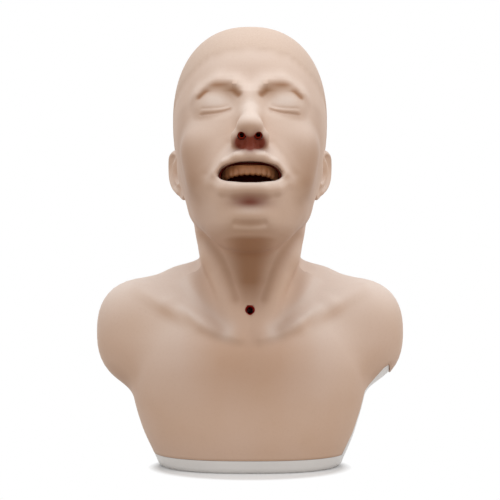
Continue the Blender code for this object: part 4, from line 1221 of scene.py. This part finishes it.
class TRAINER_OT_shell(bpy.types.Operator):
    """Hard white shell: base rim, floor, back and the posts for the frame"""

    bl_idname = "trainer.shell"
    bl_label = "Hard Shell"

    def execute(self, context):
        sizes = context.scene.trainer_shell
        rim, wall, edge = sizes.rim / MM, sizes.wall / MM, sizes.edge / MM

        def outer(p):
            foot = np.clip(edge - p[..., 2], 0, edge)
            inset = np.clip((p[..., 2] - rim) / SHELL_INSET_RISE, SHELL_INSET_LEAST, 1)
            return bust(p) + SHELL_INSET * inset + edge - np.sqrt(np.maximum(edge ** 2 - foot ** 2, 0))

        def inner(p):
            return bust(p) + SHELL_INSET + wall

        shell = form("hard_shell", outer, SHELL_RINGS, SHELL_COLUMNS, 0, CROWD_BACK)
        room = form("shell_room", inner, SHELL_RINGS, SHELL_ROOM_COLUMNS, 0, CROWD_BACK, wall)
        shell = cut(shell, room)
        shell = carve(shell, "INTERSECT", seam_cutter("shell_seam", rim, 0.0))
        screw = context.scene.trainer_screw
        for x in (-POST_X, POST_X):
            for z in POST_Z:
                back = back_wall(x, z)
                post = rod("post", (x, FRAME_FACE_Y + GAP, z), (x, back - POST_SINK, z), POST_R)
                shell = carve(shell, "UNION", post)
                bore = rod("post_bore", (x, FRAME_FACE_Y - CUT_PAST, z), (x, back + CUT_PAST, z),
                           screw.shank_radius / MM + GAP)
                seat = back - screw.head_height / MM - SEAT_SINK
                well = rod("post_seat", (x, seat, z), (x, back + WELL_PAST, z), screw.head_radius / MM + GAP)
                shell = cut(shell, bore, well)
        settle(shell, moulded_finish("white_moulded_plastic"), ["base_shell"], SMOOTH_HARD)
        return {"FINISHED"}


class TRAINER_OT_mouth(bpy.types.Operator):
    """Mouth lining, both arches of teeth and the tongue"""

    bl_idname = "trainer.mouth"
    bl_label = "Mouth"

    def execute(self, context):
        sizes = context.scene.trainer_mouth
        liner = head_ball("mouth_lining", MOUTH_CENTRE, MOUTH_SIZE, MOUTH_SQUARE)
        neck = from_head(MOUTH_CENTRE)
        liner = carve(liner, "UNION", rod("lining_neck", neck, mouth_neck_end(0), THROAT_NECK_R))
        inside = [s - LINER_WALL for s in MOUTH_SIZE]
        room = head_ball("lining_room", MOUTH_CENTRE, inside, MOUTH_SQUARE)
        bore = rod("lining_bore", neck, mouth_neck_end(CUT_PAST), THROAT_NECK_R - LINER_WALL)
        face_y = MOUTH_CENTRE[1] - MOUTH_SIZE[1] + LINER_FRONT
        face = from_head((0, face_y, MOUTH_CENTRE[2]))
        ahead = from_head((0, face_y - LINER_CUT_LONG, MOUTH_CENTRE[2]))
        liner = cut(liner, room, bore, rod("lining_front", face, ahead, LINER_CUT_R), lip_way())
        settle(liner, moulded_finish("dark_red_lining"), ["mouth_liner"])

        gum = moulded_finish("flesh_brown_teeth")
        for name, node, *heights in TEETH_ARCHES:
            settle(self.seated(self.arch(name, sizes, *heights)), gum, [node])
        settle(self.seated(self.tongue()), moulded_finish("red_tongue"), ["tongue"])
        return {"FINISHED"}

    def seated(self, item):
        """Keep what lies clear inside the lining."""
        free = [s - LINER_WALL - GAP for s in MOUTH_SIZE]
        return carve(item, "INTERSECT", head_ball("mouth_seat", MOUTH_CENTRE, free, MOUTH_SQUARE))

    def arch(self, name, sizes, root, biting, tilt):
        """A horseshoe of teeth in one moulding, each with a rounded face and edge."""
        wide, deep = sizes.arch_wide / MM, sizes.arch_deep / MM
        share = np.linspace(0, 1, sizes.teeth * TOOTH_SECTIONS)
        turn = math.pi * (TEETH_ARCH_START + (1 - 2 * TEETH_ARCH_START) * share)
        tooth = np.abs(np.sin(share * math.pi * sizes.teeth)) ** TOOTH_FLAT
        shoulder, belly = biting + tilt * TOOTH_SHOULDER, root + (biting - root) * TOOTH_BELLY
        # across in shares of the thickness, and height
        section = ((0.5, root), (0.56, belly), (0.52, shoulder), (0.28, biting),
                   (0.0, biting - tilt * TOOTH_EDGE), (-0.28, biting), (-0.5, shoulder), (-0.5, root))
        stack = []
        for angle, full in zip(turn, tooth):
            ring = []
            for grow, z in section:
                down = abs(z - root) / abs(biting - root)
                swell = TOOTH_SWELL * (full - TOOTH_FLAT) * down * math.copysign(TOOTH_SWELL_OUT, grow)
                out = TOOTH_THICK * (grow + swell)
                ring.append(((wide + out) * math.cos(angle), TEETH_ARCH_Y - (deep + out) * math.sin(angle),
                             z - tilt * TOOTH_SCALLOP * full * down ** 2))
            stack.append(from_head(ring))
        return loft(name, stack)

    def tongue(self):
        """A low tongue with a shallow middle furrow."""
        tongue = head_ball("soft_tongue", *TONGUE)
        deep, wide, low = TONGUE_FURROW
        h = to_head(points_of(tongue))
        h[:, 2] -= deep * np.exp(-(h[:, 0] / wide) ** 2) * (h[:, 2] > low)
        moved = from_head(h) * MM
        tongue.data.vertices.foreach_set("co", moved.astype(np.float32).ravel())
        return tongue


class TRAINER_OT_airway(bpy.types.Operator):
    """Throat opening, windpipe, throat, nasal tubes, gullet, fork and lungs"""

    bl_idname = "trainer.airway"
    bl_label = "Airway"

    def execute(self, context):
        start, end = stoma_ends(-STOMA_LIP - GAP, 0.0)
        length = float(np.linalg.norm(end - start))
        outer = STOMA_R + STOMA_WALL
        body = ((0.0, outer - STOMA_BEVEL), (STOMA_BEVEL, outer), (length, outer))
        ring = turned("stoma_ring_soft", body, start, end - start, STOMA_SIDES)
        bore = (*STOMA_BORE, (length + CUT_PAST, STOMA_R))
        ring = cut(ring, turned("stoma_bore", bore, start, end - start, STOMA_SIDES))
        low, high = [(0, AIRWAY_Y, z) for z in SADDLE_Z]
        ring = cut(ring, rod("stoma_saddle", low, high, TRACHEA_R + GAP, SADDLE_SIDES))
        finishes = {name: moulded_finish(name) for name in DRESSED_SOLIDS}
        settle(ring, finishes["glossy_red_airway"], ["stoma_ring"])
        for name, solids in DRESSED_SOLIDS.items():
            for solid in solids:
                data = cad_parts[solid].data
                data.materials.clear()
                data.materials.append(finishes[name])
        return {"FINISHED"}


def screw_tree():
    """Geometry tree: one cross-head screw on every point, facing along +Y."""
    made = Tree(bpy.data.node_groups.new("cross_head_screws", "GeometryNodeTree"))
    face = made.tree.interface
    for way in ("INPUT", "OUTPUT"):
        face.new_socket("Geometry", in_out=way, socket_type="NodeSocketGeometry")
    for name in ("Head Radius", "Head Height", "Shank Radius", "Shank Length", "Recess"):
        face.new_socket(name, in_out="INPUT", socket_type="NodeSocketFloat")
    face.new_socket("Finish", in_out="INPUT", socket_type="NodeSocketMaterial")
    given = {socket.name: Reading(made, socket) for socket in made.tree.nodes.new("NodeGroupInput").outputs}
    height, length, recess = given["Head Height"], given["Shank Length"], given["Recess"]

    def moved(shape, along):
        offset = made.add("ShaderNodeCombineXYZ", {"Z": along})
        return made.add("GeometryNodeTransform", {"Geometry": shape, "Translation": offset})

    def cylinder(sides, radius, depth, along):
        solid = made.add("GeometryNodeMeshCylinder", {"Vertices": sides, "Radius": radius, "Depth": depth})
        return moved(solid, along)

    solids = [cylinder(SCREW_SIDES, given["Head Radius"], height, height * 0.5),
              cylinder(SHANK_SIDES, given["Shank Radius"], length, length * -0.5)]
    reach = given["Head Radius"] * RECESS_REACH
    slots = []
    for wide, tall in ((reach, recess), (recess, reach)):
        extent = made.add("ShaderNodeCombineXYZ", {"X": wide, "Y": tall, "Z": height})
        slots.append(moved(made.add("GeometryNodeMeshCube", {"Size": extent}), height))
    whole = made.add("GeometryNodeMeshBoolean", {"Mesh 2": solids}, operation="UNION", solver="EXACT")
    carved = made.add("GeometryNodeMeshBoolean", {"Mesh 1": whole, "Mesh 2": slots},
                      operation="DIFFERENCE", solver="EXACT")
    turned_out = made.add("GeometryNodeTransform", {"Geometry": carved, "Rotation": (-math.pi / 2, 0.0, 0.0)})
    spread = made.add("GeometryNodeInstanceOnPoints", {"Points": given["Geometry"], "Instance": turned_out})
    real = made.add("GeometryNodeRealizeInstances", {"Geometry": spread})
    dressed = made.add("GeometryNodeSetMaterial", {"Geometry": real, "Material": given["Finish"]})
    made.feed(made.tree.nodes.new("NodeGroupOutput").inputs[0], dressed)
    return made.tree


class TRAINER_OT_screws(bpy.types.Operator):
    """Four cross-head screws that hold the frame to the posts"""

    bl_idname = "trainer.screws"
    bl_label = "Screws"

    def execute(self, context):
        sizes = context.scene.trainer_screw
        steel = moulded_finish("bright_steel")
        places = [(x, z) for z in POST_Z for x in (-POST_X, POST_X)]
        for number, (x, z) in enumerate(places, 1):
            seat = back_wall(x, z) - sizes.head_height / MM - SEAT_SINK + GAP
            data = bpy.data.meshes.new("screw_place")
            data.from_pydata([(x * MM, seat * MM, z * MM)], [], [])
            place = placed("screw_place_%d" % number, data)
            step = place.modifiers.new("screws", "NODES")
            step.node_group = screw_tree()
            given = {item.name: item.identifier for item in step.node_group.interface.items_tree
                     if item.in_out == "INPUT"}
            for name, value in (
                ("Head Radius", sizes.head_radius), ("Head Height", sizes.head_height),
                ("Shank Radius", sizes.shank_radius), ("Recess", sizes.recess), ("Finish", steel),
                ("Shank Length", (seat - FRAME_FACE_Y + SHANK_PAST) * MM),
            ):
                step[given[name]] = value
            context.view_layer.update()
            screw = baked(place, "back_screw_%d" % number, MERGE)
            settle(screw, steel, ["frame_screw_%d" % number], SMOOTH_HARD)
        return {"FINISHED"}


class TRAINER_OT_stage(bpy.types.Operator):
    """White floor and room, soft lamps and the camera"""

    bl_idname = "trainer.stage"
    bl_label = "Stage"

    def execute(self, context):
        sizes = context.scene.trainer_stage
        scene = context.scene
        self.floor()
        for name, power, place in (
            ("top_lamp", sizes.top_light, TOP_LAMP),
            ("side_lamp", sizes.side_light, SIDE_LAMP),
        ):
            lamp = bpy.data.lights.new(name, "AREA")
            lamp.energy = power
            lamp.size = LAMP_SIZE
            holder = placed(name, lamp)
            holder.location = place
            holder.rotation_euler = (Vector(LAMP_AIM) - Vector(place)).to_track_quat("-Z", "Y").to_euler()
        self.world(sizes.room_light)

        view = bpy.data.cameras.new("camera")
        view.sensor_width = SENSOR_WIDTH
        view.lens = sizes.lens
        view.shift_y = PICTURE_RISE
        holder = placed("camera", view)
        holder.location = (0.0, -sizes.distance, sizes.eye_height)
        holder.rotation_euler = (math.pi / 2, 0.0, 0.0)
        scene.camera = holder
        scene.view_settings.view_transform = "Standard"
        return {"FINISHED"}

    def floor(self):
        """A white sheet that keeps the shadow and otherwise shows plain white."""
        data = bpy.data.meshes.new("floor")
        corners = [(x * FLOOR_HALF, y * FLOOR_HALF, 0.0) for x, y in ((-1, -1), (1, -1), (1, 1), (-1, 1))]
        data.from_pydata(corners, [], [(0, 1, 2, 3)])
        sheet = placed("floor", data)
        made = Finish("white_floor")
        scale, share = FLOOR_MOTTLE
        made.wear({"Specular IOR Level": 0.0, "Roughness": 0.9},
                  Base_Color=made.mix(made.noise(scale) * share, *FLOOR_TONES))
        near = made.add("ShaderNodeMapping",
                        {"Vector": made.place, "Location": SHADOW_SHIFT, "Scale": SHADOW_SCALE})
        near = made.add("ShaderNodeVectorMath", {0: near}, "Value", operation="LENGTH")
        near = ((near - SHADOW_EDGE) / SHADOW_FADE).clipped()
        dull = made.add("ShaderNodeBsdfDiffuse", {"Color": FLOOR_BOUNCE})
        glow = made.add("ShaderNodeEmission", {"Color": WHITE, "Strength": FLOOR_GLOW})
        white = made.add("ShaderNodeEmission", {"Color": WHITE, "Strength": 1.0})
        lit = made.add("ShaderNodeAddShader", {0: Reading(made, made.shader.outputs[0]), 1: glow})
        lit = made.add("ShaderNodeMixShader", {0: near, 1: lit, 2: white})
        lit = made.add("ShaderNodeMixShader", {0: made.rays(), 1: dull, 2: lit})
        made.feed(made.tree.nodes["Material Output"].inputs["Surface"], lit)
        data.materials.append(made.material)

    def world(self, strength):
        """White to the camera, plain grey light to everything else."""
        world = bpy.data.worlds.new("room")
        world.use_nodes = True
        made = Tree(world.node_tree)
        light = made.add("ShaderNodeBackground", {"Color": WHITE, "Strength": strength})
        white = made.add("ShaderNodeBackground", {"Color": WHITE, "Strength": 1.0})
        joined = made.add("ShaderNodeMixShader", {0: made.rays(), 1: light, 2: white})
        made.tree.nodes.remove(made.tree.nodes["Background"])
        made.feed(made.tree.nodes["World Output"].inputs["Surface"], joined)
        bpy.context.scene.world = world


class TRAINER_PT_panel(bpy.types.Panel):
    """Sizes and colours of the trainer, with a button for each group of pieces"""

    bl_idname = "TRAINER_PT_panel"
    bl_label = "Care Trainer"
    bl_space_type = "VIEW_3D"
    bl_region_type = "UI"
    bl_category = "Care Trainer"

    def draw(self, context):
        for name, group in GROUPS.items():
            box = self.layout.box()
            sizes = getattr(context.scene, name)
            for key in sizes.__annotations__:
                box.prop(sizes, key)
            for step in group[1]:
                box.operator(step)


GROUPS = {
    "trainer_skin": (SkinSizes, ("trainer.skin",)),
    "trainer_shell": (ShellSizes, ("trainer.shell",)),
    "trainer_mouth": (MouthSizes, ("trainer.mouth", "trainer.airway")),
    "trainer_screw": (ScrewSizes, ("trainer.screws",)),
    "trainer_stage": (StageSizes, ("trainer.stage",)),
}
CLASSES = (SkinSizes, ShellSizes, MouthSizes, ScrewSizes, StageSizes, TRAINER_OT_skin, TRAINER_OT_shell,
           TRAINER_OT_mouth, TRAINER_OT_airway, TRAINER_OT_screws, TRAINER_OT_stage, TRAINER_PT_panel)


def register():
    for item in CLASSES:
        bpy.utils.register_class(item)
    for name, group in GROUPS.items():
        setattr(bpy.types.Scene, name, bpy.props.PointerProperty(type=group[0]))


def unregister():
    for name in GROUPS:
        delattr(bpy.types.Scene, name)
    for item in reversed(CLASSES):
        bpy.utils.unregister_class(item)


def main():
    """Make every piece and the stage."""
    register()
    bpy.ops.trainer.shell()
    bpy.ops.trainer.skin()
    bpy.ops.trainer.mouth()
    bpy.ops.trainer.airway()
    bpy.ops.trainer.screws()
    bpy.ops.trainer.stage()


if __name__ == "__main__":
    main()
